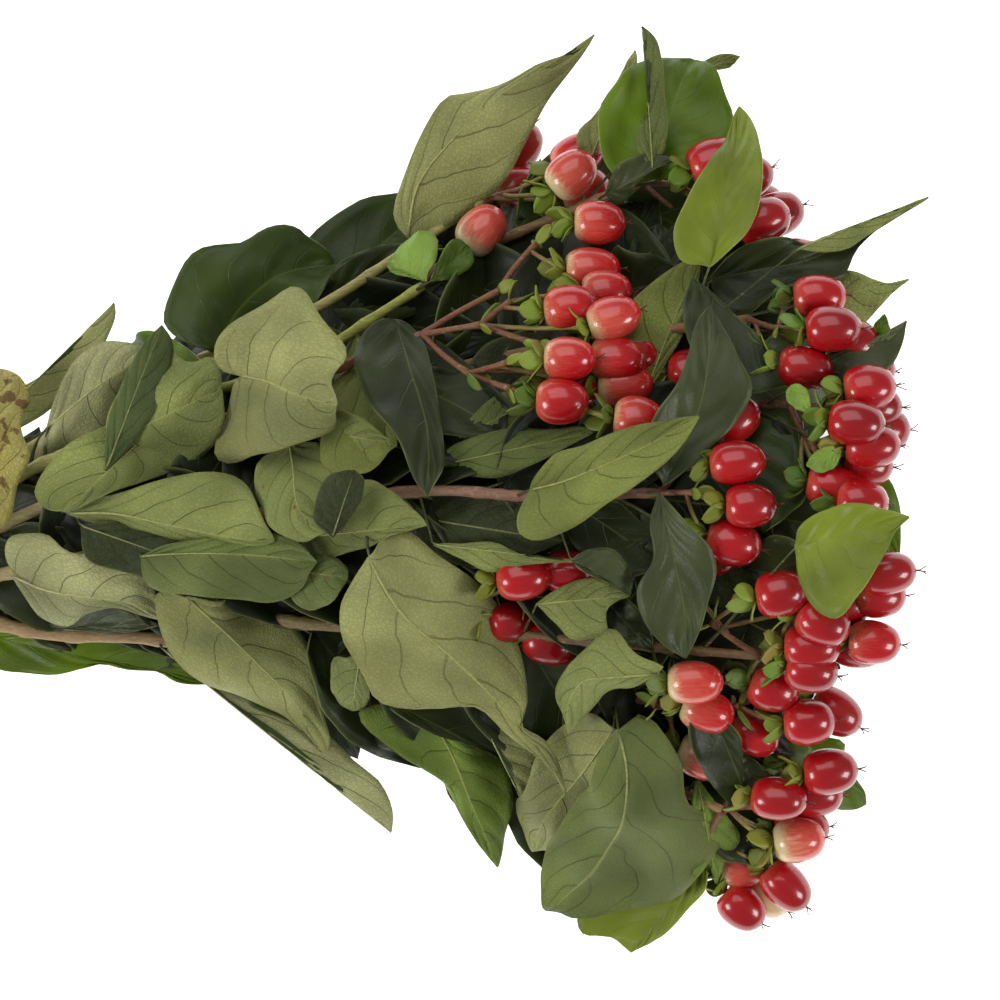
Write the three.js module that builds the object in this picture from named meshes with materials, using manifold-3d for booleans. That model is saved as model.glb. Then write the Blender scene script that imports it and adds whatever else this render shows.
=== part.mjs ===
// A florist's bunch of red hypericum: ten cut stems, each with its leaves and, at its end, a spray of
// berries, held together by a rubber band and lying on a flat surface. Millimetres, +Z up, +X from the cut
// ends to the berries. The origin is on the surface, under the middle of the band.
import * as THREE from "three";
import Module from "manifold-3d";
import { mergeVertices } from "three/addons/utils/BufferGeometryUtils.js";

// ---- driving dimensions ----
const CUT_END_X = -80; // where the stems are cut
const STEM_PITCH = 5.6; // from stem to stem inside the band
const STEM_R = 2.4; // stem radius at the cut end
const STEM_TOP_R = 1.2; // stem radius at its fork
const LOWEST_STEM_Z = 4.45; // axis of the lowest row of stems, in the band
const STALK = { halfWidth: 0.95, halfDepth: 0.6 }; // a leaf's stalk
const TWIG_R = 0.75; // twig that carries a berry
const BAND = { width: 6, thickness: 1.35, gap: 0.7 };
const BLADE_T = 0.85; // leaf thickness
const TIP_HALF_WIDTH = 0.8; // half-width of a leaf at its very tip
const BERRY = { length: 14.6, width: 11.8 };
const SEPAL = { length: 7.8, width: 5, count: 4 };
const CROWN = { neck: 22, rise: 86, riseEnd: 280, side: 0.28, halfNeck: 14, spread: 104, spreadEnd: 240 };
const GAP = 0.35; // clear space kept between two pieces
const FINEST_FORM = 0.2; // smaller facets are merged into their neighbours

// ---- the heap's upper surface, which leaf and berry depths are counted down from ----
const UP = new THREE.Vector3(0, 1, 0);
const clamp01 = (v) => Math.min(1, Math.max(0, v));
function crownHeight(x, y) {
  const top = CROWN.neck + CROWN.rise * Math.sin((Math.PI / 2) * clamp01(x / CROWN.riseEnd));
  const half = CROWN.halfNeck + CROWN.spread * clamp01(x / CROWN.spreadEnd) ** 1.35;
  const middle = 15 * clamp01(x / 120);
  const across = Math.min(1, Math.abs(y - middle) / half);
  const side = CROWN.side * top;
  return side + (top - side) * Math.cos((Math.PI / 2) * across);
}
const sunk = ([x, y, depth]) => new THREE.Vector3(x, y, Math.max(0.5, crownHeight(x, y) - depth));
const low = (x, y, z) => [x, y, crownHeight(x, y) - z];

// ---- stems: row and place in the band, then points in mm up to the first fork ----
const STEMS = {
  "01": { row: 0, place: 1, path: [[40, 8, 5], [80, 26, 12], [120, 48, 20], [165, 70, 28], [210, 90, 38],
    [244, 104, 44]] },
  "02": { row: 1, place: 1.5, path: [[40, 12, 12], [80, 34, 22], [120, 54, 32], [154, 69, 42], [179, 85, 40],
    [200, 99, 34]] },
  "03": { row: 2, place: 1, path: [[40, 8, 19], [80, 27, 33], [120, 44, 40], [150, 54, 47], [170, 66, 51],
    [184, 75, 52]] },
  "04": { row: 2, place: 0, path: [[40, 0, 19], [80, 15, 36], [120, 34, 45], [155, 50, 55], [184, 61, 66]] },
  "05": { row: 1, place: 0.5, path: [[40, 4, 12], [80, 16, 26], [120, 30, 36], [160, 44, 46], [210, 56, 62],
    [250, 62, 74], [272, 65, 78]] },
  "06": { row: 0, place: 0, path: [[40, 0, 5], [80, 6, 14], [120, 16, 24], [160, 28, 36], [210, 36, 54],
    [255, 40, 72], [283, 42, 84]] },
  "07": { row: 2, place: -1, path: [[40, -8, 19], [80, -2, 34], [120, 8, 50], [160, 16, 66], [190, 18.5, 82],
    [213, 17, 88], [248, 18, 92]] },
  "08": { row: 1, place: -0.5, path: [[40, -4, 12], [80, -7, 22], [120, -12, 34], [152, -18, 50],
    [200, -20, 64], [250, -24, 80], [275, -26, 86]] },
  "09": { row: 0, place: -1, path: [[40, -8, 5], [80, -15, 10], [120, -22, 16], [160, -27, 28],
    [210, -34, 46], [240, -38, 60], [262, -40, 66]] },
  "10": { row: 1, place: -1.5, path: [[40, -12, 12], [75, -21, 18], [113, -23.5, 26], [160, -38, 22],
    [215, -54, 34], [250, -62, 50], [266, -69, 56]] },
};

// ---- forks of the sprays: name, what it grows from (a stem's number or a fork), point [x, y, depth] ----
const FORKS = {
  "01a": ["01", [254, 103, 14]], "01b": ["01a", [266, 96, 13]],
  "02a": ["02", [213, 103, 14]],
  "03a": ["03", [196, 88, 13]],
  "04a": ["04", [205, 73, 5]], "04b": ["04a", [215, 86, 4]], "04c": ["04", [200, 63.5, 4]],
  "04d": ["04c", [208, 70, 4]], "04e": ["04c", [216, 58, 8]], "04f": ["04", [197, 50, 9]],
  "04g": ["04f", [208, 46, 10]], "04h": ["04f", [207, 53, 7]],
  "05a": ["05", [280, 62, 10]],
  "06a": ["06", [291, 41, 14]], "06b": ["06", [290, 29, 14]],
  "07a": ["07", [257, 18, 9]], "07b": ["07", [256, 26, 12]],
  "08a": ["08", [280, -24, 11]], "08b": ["08a", [292, -14, 13]], "08c": ["08", [262, -17, 14]],
  "08d": [[186, -19.5], [198, -14, 22]],
  "09a": ["09", [270, -40, 15]], "09b": ["09", [247, -40, 14]],
  "10a": ["10", [274, -68, 12]], "10b": ["10", [262, -80, 10]],
  "01d": ["01", low(262, 92, 28)], "06c": ["06", low(294, 38, 66)], "09c": ["09", low(272, -34, 52)],
  "10c": ["10", low(276, -60, 38)],
};

// ---- berries: fork, middle [x, y, depth], axis towards the tip ----
const BERRIES = [
  ["03a", [200, 90.5, 6], [0.67, 0.74, 0.1]], ["02a", [210.2, 115, 13], [0.55, 0.8, 0]],
  ["02a", [209, 103.5, 20], [0.9, 0.3, -0.3]], ["02a", [226.5, 111.5, 9], [0.8, 0.5, 0]],
  ["02a", [224.7, 106, 4], [0.65, 0.55, 0.1]],
  ["04b", [232, 91.8, 6], [1, 0, 0]], ["04b", [230, 79, 12], [1, 0, -0.1]],
  ["04d", [233.8, 72.5, 14], [1, 0, 0]], ["04d", [224, 68, 5], [1, 0.1, 0.1]],
  ["04c", [235.5, 65, 7], [0.92, 0.3, 0]], ["04h", [223.5, 54, 4], [1, 0, 0.1]],
  ["04e", [236.5, 54, 14], [1, -0.1, 0]],
  ["04g", [221.5, 42.5, 8], [1, -0.05, 0.1]], ["04g", [224.5, 46.5, 19], [1, 0.1, 0]],
  ["04h", [238.5, 47.5, 20], [1, 0, 0]], ["04g", [242, 37.5, 14], [1, -0.1, 0]],

  ["01a", [263.5, 109.3, 2], [0.9, 0.4, -0.1]], ["01b", [273, 104.5, 10], [0.9, 0.4, 0]],
  ["01b", [281.5, 94.5, 17], [0.9, 0.35, -0.1]], ["01b", [276.5, 92.5, 8], [0.95, 0.25, 0]],
  ["01b", [287.5, 81.5, 22], [1, -0.1, -0.1]],

  ["05a", [291, 71, 8], [1, 0.05, 0]], ["05a", [294.3, 62, 4], [1, 0, 0.1]],
  ["05a", [300.5, 58.5, 14], [1, -0.1, -0.1]], ["05a", [286.9, 51.5, 12], [1, -0.15, 0]],
  ["05a", [304.5, 51.5, 20], [1, -0.1, -0.2]],
  ["06a", [303.7, 46, 8], [1, 0.1, 0]], ["06a", [299.8, 36.5, 4], [1, -0.1, 0.1]],
  ["06a", [306, 41, 17], [1, 0, -0.1]], ["06b", [304.3, 30.5, 10], [1, 0, 0]],
  ["06b", [308, 35, 22], [1, 0, -0.2]], ["06b", [303.5, 25.5, 20], [1, -0.1, -0.1]],
  ["06b", [294.2, 19.5, 14], [1, -0.2, 0]], ["06b", [301.5, 15.5, 11], [1, -0.1, 0]],
  ["07b", [267.8, 37.6, 17], [0.9, 0.5, 0]], ["07b", [268.2, 26, 9], [1, 0.1, 0.1]],
  ["07a", [271.7, 14.5, 9], [1, 0, 0]], ["07a", [267.2, 4.5, 13], [1, -0.25, 0]],
  ["08d", [211, -5, 17], [1, 0.1, 0.1]],
  ["08d", [208, -17, 26], [1, 0.1, -0.2]], ["08d", [218.5, -23, 27], [0.9, -0.3, -0.1]],

  ["08c", [280, -9, 7], [1, 0.15, 0.1]], ["08a", [291.2, -16.8, 5], [0.9, -0.4, 0.1]],
  ["08b", [308.5, -3.5, 9], [1, 0.1, 0]], ["08b", [306.9, -9.6, 16], [1, 0, -0.1]],
  ["08a", [288.5, -23.3, 8], [1, 0, 0.1]], ["08a", [288.4, -29.9, 6], [1, -0.2, 0]],
  ["08b", [305.2, -22.2, 10], [1, -0.1, 0]], ["08a", [301.5, -23.2, 20], [1, -0.2, -0.1]],
   ["08a", [278.8, -35.2, 14], [0.9, -0.3, 0]],
  ["09b", [257.3, -33, 6], [1, 0, 0.1]], ["09b", [261, -41.2, 12], [0.9, -0.3, 0]],
  ["09a", [288.5, -44, 9], [1, 0.05, 0.1]], ["09a", [296.1, -41.7, 18], [0.8, -0.5, 0]],
  ["09a", [274, -47.8, 16], [0.8, -0.5, 0]], ["09b", [260.2, -54.3, 16], [0.9, -0.4, 0]],
  ["10a", [294.8, -58, 9], [1, 0.1, 0]], ["10a", [292, -65, 16], [1, 0, 0]],
  ["10a", [280.8, -65.5, 3], [1, -0.1, 0.2]], ["10a", [287, -77.6, 6], [1, 0.1, 0]],
  ["10b", [272.6, -85.6, 18], [1, 0, 0.1]], ["10b", [284.3, -91.2, 6], [0.7, -0.7, 0]],
  ["10b", [272.5, -97.5, 7], [0.75, -0.65, 0]],
  ["01d", low(277, 98, 24), [0.9, 0.3, -0.2]],
   ["06c", low(305, 27, 58), [0.9, -0.2, -0.4]],
  ["09c", low(288, -28, 50), [0.9, 0.2, -0.3]],
  ["10c", low(291, -56, 32), [0.9, 0.1, -0.3]],
];

// ---- leaves: stem, base [x, y, depth], tip [x, y, depth], width in mm and the side that looks up ----
// Left and right are points of the edges and rib of the midrib, from base to tip and seen from above. Cup is
// how far the left and the right half bend up, in degrees, arch how far the middle rises and wave how far the
// edges roll.
const leaf = (stem, base, tip, width, face, bends = {}) => ({
  stem, base, tip, width, cup: face === "under" ? [-8, -8] : [12, 12], arch: 3, wave: 1.2, rib: [],
  ...bends });
const LEAVES = [
  leaf("04", [60, 8, 6], [66, 52.5, -5], 34, "under",
    { arch: 8, left: [[49, 14], [43, 27], [47, 40], [56, 48]], right: [[68, 9], [70.5, 15], [71.2, 18.5],
      [74.5, 25], [72, 32], [71.2, 37], [73.3, 44.5], [70.5, 49.5]] }),
  leaf("01", [64, 39, 5], [96.6, 71.3, 4], 14, "under",
    { cup: [-35, 5], left: [[66.5, 45.5], [74.5, 49.8], [84.5, 57], [92.5, 66]], right: [[69, 36],
      [74, 38.5], [79, 42], [88, 50], [95.3, 62], [97.3, 67.5]] }),
  leaf("03", [79, 36, 5], [107.8, 57.3, 0], 36, "under",
    { cup: [-30, -18], arch: 5, rib: [[90, 45], [100, 52.3]], left: [[80.5, 42], [84, 50.5], [88.5, 57],
      [95, 59.8], [102, 59.8]], right: [[76.3, 31], [75, 22], [75.3, 15.8], [80, 19.5], [92, 24.5],
      [98.2, 33.5], [99, 42], [103.5, 50.5]] }),
  leaf("03", [112, 38, 11], [86, 12.6, 6], 20, "under",
    { left: [[124, 34], [117, 25.5], [107, 20.6], [98, 17.4], [91, 14.2]], right: [[96, 36], [82, 26],
      [77, 18.5], [80, 14]] }),
  leaf("03", [97, 31, 7], [128.6, 46.6, 5], 38, "under",
    { cup: [-32, -12], left: [[98, 42], [104, 52], [112, 57], [120, 53.4], [125, 55.4], [128, 52]],
      right: [[94.5, 25.5], [103, 21.8], [113, 22.3], [121, 26.5], [127.5, 33], [130, 39.5]] }),
  leaf("02", [126.5, 56.3, 13], [159, 82, 8], 46, "upper",
    { cup: [6, 10], rib: [[131, 67], [143, 78]], left: [[120, 57.6], [112, 63.5], [111.7, 70.5],
      [115.5, 80.5], [120, 84.2], [127, 86], [132.7, 86.8], [137, 90], [143, 91.6], [148, 91.3],
      [151, 88.8], [156.5, 85.6]], right: [[136, 57], [148, 64], [155, 74]] }),
  leaf("03", [134, 50, 1], [161, 41.5, 1], 46, "under",
    { cup: [-14, -8], arch: 4, rib: [[144, 47.5], [153, 43.5]], left: [[129.5, 51.5], [129, 58],
      [131.5, 62.5], [137, 67.6], [147, 74], [152, 72.3], [158, 64], [162.8, 55], [160.3, 49]],
      right: [[131, 45], [125.5, 34], [127, 27.3], [142, 27.3], [149, 29], [158, 35]] }),
  leaf("04", [86.5, 12.3, 10], [144, 5, 6], 28, "under",
    { cup: [-10, -50], rib: [[100, 12.2], [118, 8.6], [132, 5.8]], left: [[91, 15.8], [103, 18.4],
      [114, 21.7], [125, 24], [135, 20.9], [141.3, 12.5]], right: [[92, 10], [104, 8.4], [118, 4.8],
      [130, 2.6], [138, 2.6]] }),
  leaf("07", [107, 0.6, 5], [155.6, -0.8, 5], 20, "under",
    { rib: [[120, 1.4], [140, 1]], left: [[114, 3.6], [126, 5.8], [138, 7.4], [149.5, 5.6]],
      right: [[108.5, -7], [115, -10], [128, -10.4], [141.5, -12], [151.5, -8]] }),
  leaf("04", [147.5, 32, 15], [158.3, 7.5, 2], 22, "under",
    { arch: 2, rib: [[149.5, 22], [151.5, 12]], left: [[157, 31], [160.3, 24], [156.2, 15], [158.7, 10.5]],
      right: [[139.5, 27], [138, 20], [141.5, 10.8], [146.7, 6.2], [151.5, 5]] }),
  leaf("04", [155, 35, 21], [177, 31, 14], 18, "under",
    { left: [[160, 39.8], [166, 39.8], [171.7, 36]], right: [[158, 27], [161, 21.8], [167, 24],
      [173, 28]] }),
  leaf("07", [152, 6, 15], [185.3, 9.3, 8], 22, "under",
    { arch: 2, left: [[156, 14], [163, 20.5], [170, 20.8], [177, 18.2], [183, 12.7]], right: [[151, 1],
      [155, -2.2], [161, 1], [169, 3.1], [177, 6.6]] }),
  leaf("07", [169.5, 0.7, 5], [223, -64.4, 1], 45, "under",
    { arch: 2, rib: [[172.5, -5.7], [178.4, -15], [190.2, -25], [201, -35.3], [211, -47], [217.8, -54]],
      left: [[173.4, 5.6], [180.8, 7.3], [187.2, 1.7], [197, -4.2], [207, -16.5], [212, -30.4],
      [212.4, -40.2], [209.3, -44.4], [216.5, -48.5], [221, -56]], right: [[167, -3.8], [162.4, -12.6],
      [163.6, -23.5], [168.5, -31.4], [170.5, -37.3], [179.4, -40.7], [190.2, -41], [199, -39.5],
      [204, -45], [213.8, -53], [220, -59]] }),
  leaf("08", [167, -25, 16], [164, -42.3, 14], 10, "under",
    { left: [[169.5, -31], [168.9, -38]], right: [[159.7, -27.5], [158.4, -33.5], [160.8, -39.5]] }),
  leaf("07", [70.5, -5, 3], [112, -16.8, 2], 24, "under",
    { cup: [-6, -40], rib: [[80, -9], [92, -10.8], [103, -12.5]], left: [[68, 1], [69, 5.8], [79, 7],
      [85, 2], [90, 0.3], [98, 2.7], [104, -1], [110, -9.5]], right: [[73, -10], [78, -16.5], [84, -19],
      [92, -15], [100, -13.6], [106, -15.7]] }),
  leaf("10", [72, -20.3, 8], [110.5, -18.5, 10], 12, "upper",
    { left: [[80, -19], [84, -15.8], [91, -11.7], [97, -11.3], [104, -15]], right: [[80, -20.4],
      [88, -20.2], [96, -21], [105, -20.3]] }),
  leaf("09", [58, -22, 12], [126, -35.5, 20], 18, "upper",
    { left: [[70, -18], [90, -17], [108, -20], [118, -28]], right: [[62, -31], [72, -33], [80, -33.4],
      [88, -31.6], [94, -30.3], [101, -32], [109, -32.2], [114, -35.3], [120, -36]] }),
  leaf("08", [119, -10.5, 6], [156, -57, 2], 36, "under",
    { cup: [-10, -10], rib: [[126, -17], [136, -27], [147, -39]], left: [[128, -10.7], [143, -13],
      [150, -20.5], [154, -31], [155.3, -42], [157.2, -50]], right: [[112, -10.5], [111.7, -19],
      [115.5, -27.5], [124, -34.5], [135, -40], [147, -46], [153, -51.5]] }),
  leaf("10", [111, -25.5, 10], [174.5, -77, 5], 12, "under",
    { cup: [-18, -5], left: [[125, -31.7], [140, -37], [153, -45.5], [164.5, -57.6], [170.6, -61.8],
      [174.6, -69.5], [175, -74]], right: [[119.5, -31], [129, -39.4], [141.5, -47.6], [154, -57.5],
      [165.5, -65.4], [171.3, -71.8]] }),
  leaf("09", [186, -44, 16], [204.4, -86.5, 5], 29, "under",
    { cup: [-26, -16], rib: [[191, -53], [196.5, -67], [201, -78]], left: [[200, -52], [207.5, -57],
      [208.5, -65], [207.5, -75], [206.3, -82]], right: [[174, -42], [167.3, -47], [177, -54], [188.5, -61],
      [193.5, -71], [200, -81.5]] }),
  leaf("09", [170, -37, 14], [208.3, -57, 15], 14, "upper",
    { left: [[183, -37], [196, -38.5], [202, -45.5], [207.3, -51.6]], right: [[176, -42.6], [188, -49],
      [198, -51.9]] }),
  leaf("09", [199, -42, 12], [210.5, -65.8, 9], 26, "under",
    { left: [[210, -44], [217, -50], [219, -57], [215, -62]], right: [[203, -49.5], [208, -56.5],
      [209, -62]] }),
  leaf("09", [236, -46, 10], [214, -81.9, 8], 26, "under",
    { rib: [[228, -58], [218, -71]], left: [[240, -54], [238, -66], [232, -75], [222, -79]],
      right: [[229, -43.6], [218, -49.5], [213, -62], [208.3, -70], [209.5, -76]] }),
  leaf("09", [237, -46, 4], [218, -98.5, 2], 44, "under",
    { cup: [-16, -12], arch: 4, rib: [[240, -56], [240, -67], [235, -79], [226, -91]], left: [[243, -44.3],
      [248, -48.5], [254, -58], [256.5, -70], [262, -78], [262.2, -85], [257, -92], [247, -97],
      [232, -97.8]], right: [[233, -50], [229, -62], [221, -74], [217.5, -82], [216.3, -91]] }),
  leaf("10", [262, -84, 13], [241.5, -110.3, 5], 30, "upper",
    { left: [[263, -90], [257, -97.5], [250, -105]], right: [[250, -84], [236, -90], [228, -97],
      [229, -103.5], [236.5, -105]] }),
  leaf("10", [259, -60, 14], [265, -90.5, 9], 14, "under",
    { left: [[265, -67], [271, -75.7], [267, -83.5]], right: [[257, -66], [258, -75], [262.5, -83]] }),
  leaf("08", [247.5, -30.5, 2], [223.5, -47.3, 4], 24, "under",
    { cup: [-22, -20], arch: 5, rib: [[240, -30], [230, -31], [225.5, -37]], left: [[243, -33.2],
      [235, -34.8], [230, -40], [226, -44.5]], right: [[249, -28.5], [243, -24], [236.8, -17.8], [230, -22],
      [225, -28], [221.5, -34], [222.3, -42]] }),
  leaf("07", [213, 18.7, 4], [257.7, 38.2, -6], 23, "under",
    { rib: [[222, 21], [234.5, 26.2], [245.5, 31.2]], left: [[214, 21.9], [219.8, 28.3], [229.6, 31.5],
      [239.4, 35.6], [249.2, 37.2]], right: [[210.4, 13], [211, 7.2], [215.4, 5.2], [222.7, 7.7],
      [234.5, 15.5], [246.2, 23.5], [254.2, 31.7]] }),
  leaf("04", [176.4, 65.3, 5], [185.8, 17, 1], 24, "upper",
    { cup: [18, 8], rib: [[181, 50], [185.7, 34]], left: [[182.3, 61.5], [186.7, 50.5], [189, 37.8],
      [189.9, 24]], right: [[169.5, 61.8], [165.6, 55.4], [167.4, 46], [172.4, 36.7], [177.9, 29.8],
      [182.3, 20.4]] }),
  leaf("02", [153.5, 69.5, 20], [189, 86.5, 14], 18, "upper",
    { left: [[157.5, 78], [163.5, 83.5], [171, 86.3], [180, 87.3]], right: [[164, 71], [177, 77]] }),
  leaf("03", [160, 66, 22], [191, 78.5, 16], 16, "upper",
    { left: [[164, 70.5], [172, 76], [182, 79.5]], right: [[170, 64], [183, 68]] }),
  leaf("02", [179.5, 88.5, 1], [231.2, 145.3, -4], 34, "under",
    { cup: [-22, -10], rib: [[182, 103], [192, 116], [206, 129], [220, 137.5]], left: [[175.7, 94],
      [178.5, 106], [184, 119], [190, 127.8], [196, 128.8], [206, 131.5], [217, 137.7], [226, 140.2]],
      right: [[188, 90.5], [196, 96], [205.5, 103.5], [212.5, 116], [217.5, 125.5], [222, 132],
      [228.3, 140]] }),
  leaf("01", [249, 104, 12], [258, 138.5, -6], 38, "upper",
    { rib: [[250, 115], [254, 128]], left: [[238, 104], [232.3, 112], [232.5, 122], [238, 130.5],
      [246, 137.3], [252, 138.8]], right: [[260, 105], [267, 113], [269, 121], [265.5, 130],
      [261.5, 136.5]] }),
  leaf("05", [261.5, 78.9, 3], [270.7, 124, -13], 24, "upper",
    { cup: [14, 20], rib: [[265.4, 89.5], [266, 100], [269.4, 112]], left: [[253.6, 79], [251.3, 85.4],
      [255.1, 94.3], [261.5, 106], [266.9, 114.6], [268.8, 120.5]], right: [[268.4, 82.4], [273.4, 89.4],
      [275.4, 100], [275.2, 111], [273.4, 120.4]] }),
  leaf("05", [262, 76, 14], [321.6, 98.4, 2], 20, "upper",
    { rib: [[274.3, 78.4], [289.2, 81.3], [303, 88.6], [312.9, 94.2]], left: [[266.4, 81.8], [274.3, 86.3],
      [283.2, 87.1], [288.2, 85.3], [298.1, 89.3], [309, 93.5], [315.9, 96.2]], right: [[265.4, 67.5],
      [271.3, 66], [279.3, 72.4], [289.2, 74.9], [298.1, 76.4], [300.5, 82.3], [306, 88.3], [314.9, 94]] }),
  leaf("05", [290, 70, 24], [316.2, 76, 16], 15, "under",
    { arch: 2, left: [[295.1, 77.9], [301, 78.4], [308, 75.7], [312.1, 74.6]], right: [[295.1, 63.5],
      [302, 63], [308, 68], [312, 72.4]] }),
  leaf("05", [288, 50, 14], [314.6, 64.2, 10], 10, "upper",
    { left: [[293, 54.5], [300, 56.5], [307, 57.7], [312, 61]], right: [[296, 47.5], [304, 48], [309, 51.5],
      [312.5, 57]] }),
  leaf("05", [257, 76, 7], [286.3, 49.3, 11], 22, "upper",
    { cup: [-6, 14], left: [[263, 71.5], [269.5, 64.5], [273.5, 57.7], [281, 55.3], [285, 52]],
      right: [[255, 68], [258, 55], [266, 45], [274, 43], [281, 46.8]] }),
  leaf("06", [249, 20, 10], [261.5, 68, 0], 24, "upper",
    { rib: [[257.4, 37.8], [260.4, 51.6]], left: [[243.6, 27.9], [245.6, 36.8], [251.5, 45.7],
      [255.2, 54.6], [257.9, 64]], right: [[255.4, 23.9], [261.4, 29.8], [267.8, 35.8], [272, 44.7],
      [268.3, 54.1], [264.8, 62]] }),
  leaf("05", [243, 42, 24], [259.5, 82.9, 10], 18, "under",
    { left: [[234, 50], [236, 62], [243, 72], [252, 79]], right: [[250, 53], [254.5, 60.5], [257.5, 70],
      [259.3, 78]] }),
  leaf("05", [234, 72, 26], [257, 77, 24], 16, "upper",
    { cup: [4, 12], left: [[236.5, 86], [240, 83.6], [247, 83.3], [253, 80]], right: [[242, 70],
      [250, 72]] }),
  leaf("01", [234, 100, 10], [253.2, 109.6, -1], 9, "upper",
    { left: [[236, 106], [240.5, 110], [247, 111]], right: [[238.5, 97.5], [243, 103], [248, 107]] }),
  leaf("06", [270, 37, 26], [276, 7.3, 20], 18, "upper",
    { left: [[279, 39.5], [285.5, 34], [286.3, 24], [288, 16], [283, 12]], right: [[266, 28], [268, 16]] }),
  leaf("07", [247.5, 18, 9], [254.9, -26.5, 6], 20, "upper",
    { cup: [16, 10], rib: [[251.5, 0.2], [254.5, -14.7]], left: [[253.5, 12], [260.4, 5.1], [262.7, -0.8],
      [260.4, -10.7], [257.9, -19.6]], right: [[244.9, 10.1], [245.8, 1.2], [241.9, -5.8], [242.6, -13.7],
      [247.5, -21.1]] }),
  leaf("08", [283.4, 3.3, 3], [313.4, 11.5, -3], 28, "upper",
    { left: [[285.4, 9.6], [292.2, 13.7], [300, 15.5], [307.9, 13.7]], right: [[284.9, -5.6],
      [289.3, -12.4], [295.7, -14.9], [301.5, -8], [306.9, 0.8], [310.4, 8.2]] }),
  leaf("06", [297, 30, 34], [312.5, -1, 28], 18, "upper",
    { left: [[306, 25], [311, 20.5], [313.3, 12], [313.3, 4]], right: [[297, 20], [302, 8], [309, -1]] }),
  leaf("09", [262, -41, 9], [273.5, -66.8, 9], 13, "upper",
    { left: [[268, -44], [270, -51], [271, -60]], right: [[256, -43], [257, -52], [262, -60],
      [267.5, -65.5]] }),
  leaf("09", [284, -46, 32], [306.5, -68.5, 30], 17, "upper",
    { left: [[291, -48], [297.5, -48.5], [298.7, -53], [302, -59.5], [305.8, -64.5]], right: [[281, -52],
      [288, -62], [297, -68.5], [303, -69.8]] }),
  // lower leaves, down to the surface that the bunch lies on
  leaf("01", low(100, 40, 14), low(138, 32, 3), 28, "upper", { lower: true }),
  leaf("09", low(100, -22, 12), low(140, -12, 3), 28, "upper", { lower: true }),
  leaf("01", low(150, 68, 20), low(190, 104, 8), 30, "upper", { lower: true }),
  leaf("06", low(160, 26, 32), low(205, 12, 6), 32, "upper", { lower: true }),
  leaf("09", low(170, -32, 26), low(215, -18, 8), 32, "upper", { lower: true }),
  leaf("01", low(212, 94, 32), low(262, 112, 0.6), 32, "upper", { lower: true, arch: 1 }),
  leaf("10", low(215, -58, 30), low(258, -98, 0.6), 32, "upper", { lower: true, arch: 1 }),
  leaf("06", low(230, 40, 58), low(285, 22, 22), 32, "upper", { lower: true }),
  leaf("01", low(242, 98, 38), low(290, 76, 14), 32, "upper", { lower: true }),
  leaf("10", low(250, -64, 46), low(296, -50, 14), 32, "upper", { lower: true }),
  leaf("09", low(245, -34, 56), low(296, -18, 22), 32, "upper", { lower: true }),
  leaf("06", low(268, 44, 74), low(308, 52, 38), 30, "upper", { lower: true }),
];

// the edge of a lower leaf: share of its length, share of its greatest half-width
const PLAIN_EDGE = [[0.04, 0.6], [0.22, 1], [0.5, 0.92], [0.78, 0.5]];

// ---- curves of the wood ----
const across = (place) => place * STEM_PITCH;
const rowHeight = (row) => LOWEST_STEM_Z + (row * STEM_PITCH * Math.sqrt(3)) / 2;
function stemCurve({ row, place, path }) {
  const y = across(place);
  const z = rowHeight(row);
  const cutEnd = [CUT_END_X, y * 1.5, 3 + (z - LOWEST_STEM_Z) * 1.25];
  const splay = [cutEnd, [-20, y * 1.05, z], [0, y, z], [14, y, z]];
  return new THREE.CatmullRomCurve3([...splay, ...path].map((p) => new THREE.Vector3(...p)));
}
const CURVES = Object.fromEntries(Object.entries(STEMS).map(([id, stem]) => [id, stemCurve(stem)]));
const LINES = Object.fromEntries(
  Object.entries(CURVES).map(([id, curve]) => [id, curve.getSpacedPoints(160)]));
function nearestOnStem(id, point, pullBack = 0) {
  const line = LINES[id];
  let best = 0;
  line.forEach((p, i) => {
    if (p.distanceTo(point) < line[best].distanceTo(point)) best = i;
  });
  return Math.max(2, Math.min(line.length - 2, best - pullBack));
}
function forkPoint(name, rung = 0) {
  if (name in CURVES) return CURVES[name].getPoint(1);
  const end = sunk(FORKS[name][1]);
  if (!rung) return end;
  const start = forkStart(name.slice(0, 2), FORKS[name][0]);
  return end.lerp(start, Math.min(0.75, (rung * 2.6) / end.distanceTo(start)));
}
function forkStart(stemId, from) {
  if (typeof from === "string") return forkPoint(from);
  const near = new THREE.Vector3(from[0], from[1], LINES[stemId][120].z);
  return LINES[stemId][nearestOnStem(stemId, near)];
}
function bentCurve(from, to, lead, bend = 0.22) {
  const reach = from.distanceTo(to);
  const middle = from.clone().lerp(to, 0.5).addScaledVector(lead, reach * bend);
  return new THREE.QuadraticBezierCurve3(from, middle, to);
}

// ---- solids ----
const wasm = await Module();
wasm.setup();
const { Manifold, Mesh } = wasm;
function solidOf(geometry) {
  geometry.deleteAttribute("normal");
  geometry.deleteAttribute("uv");
  const merged = mergeVertices(geometry, 1e-4);
  const triVerts = new Uint32Array(merged.index.array);
  const mesh = new Mesh({ numProp: 3, vertProperties: merged.attributes.position.array, triVerts });
  return new Manifold(mesh).simplify(0.2);
}
function geometryOf(solid) {
  const { vertProperties, triVerts } = solid.getMesh();
  const geometry = new THREE.BufferGeometry();
  geometry.setAttribute("position", new THREE.BufferAttribute(new Float32Array(vertProperties), 3));
  geometry.setIndex(new THREE.BufferAttribute(new Uint32Array(triVerts), 1));
  geometry.computeVertexNormals();
  return geometry;
}

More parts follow.
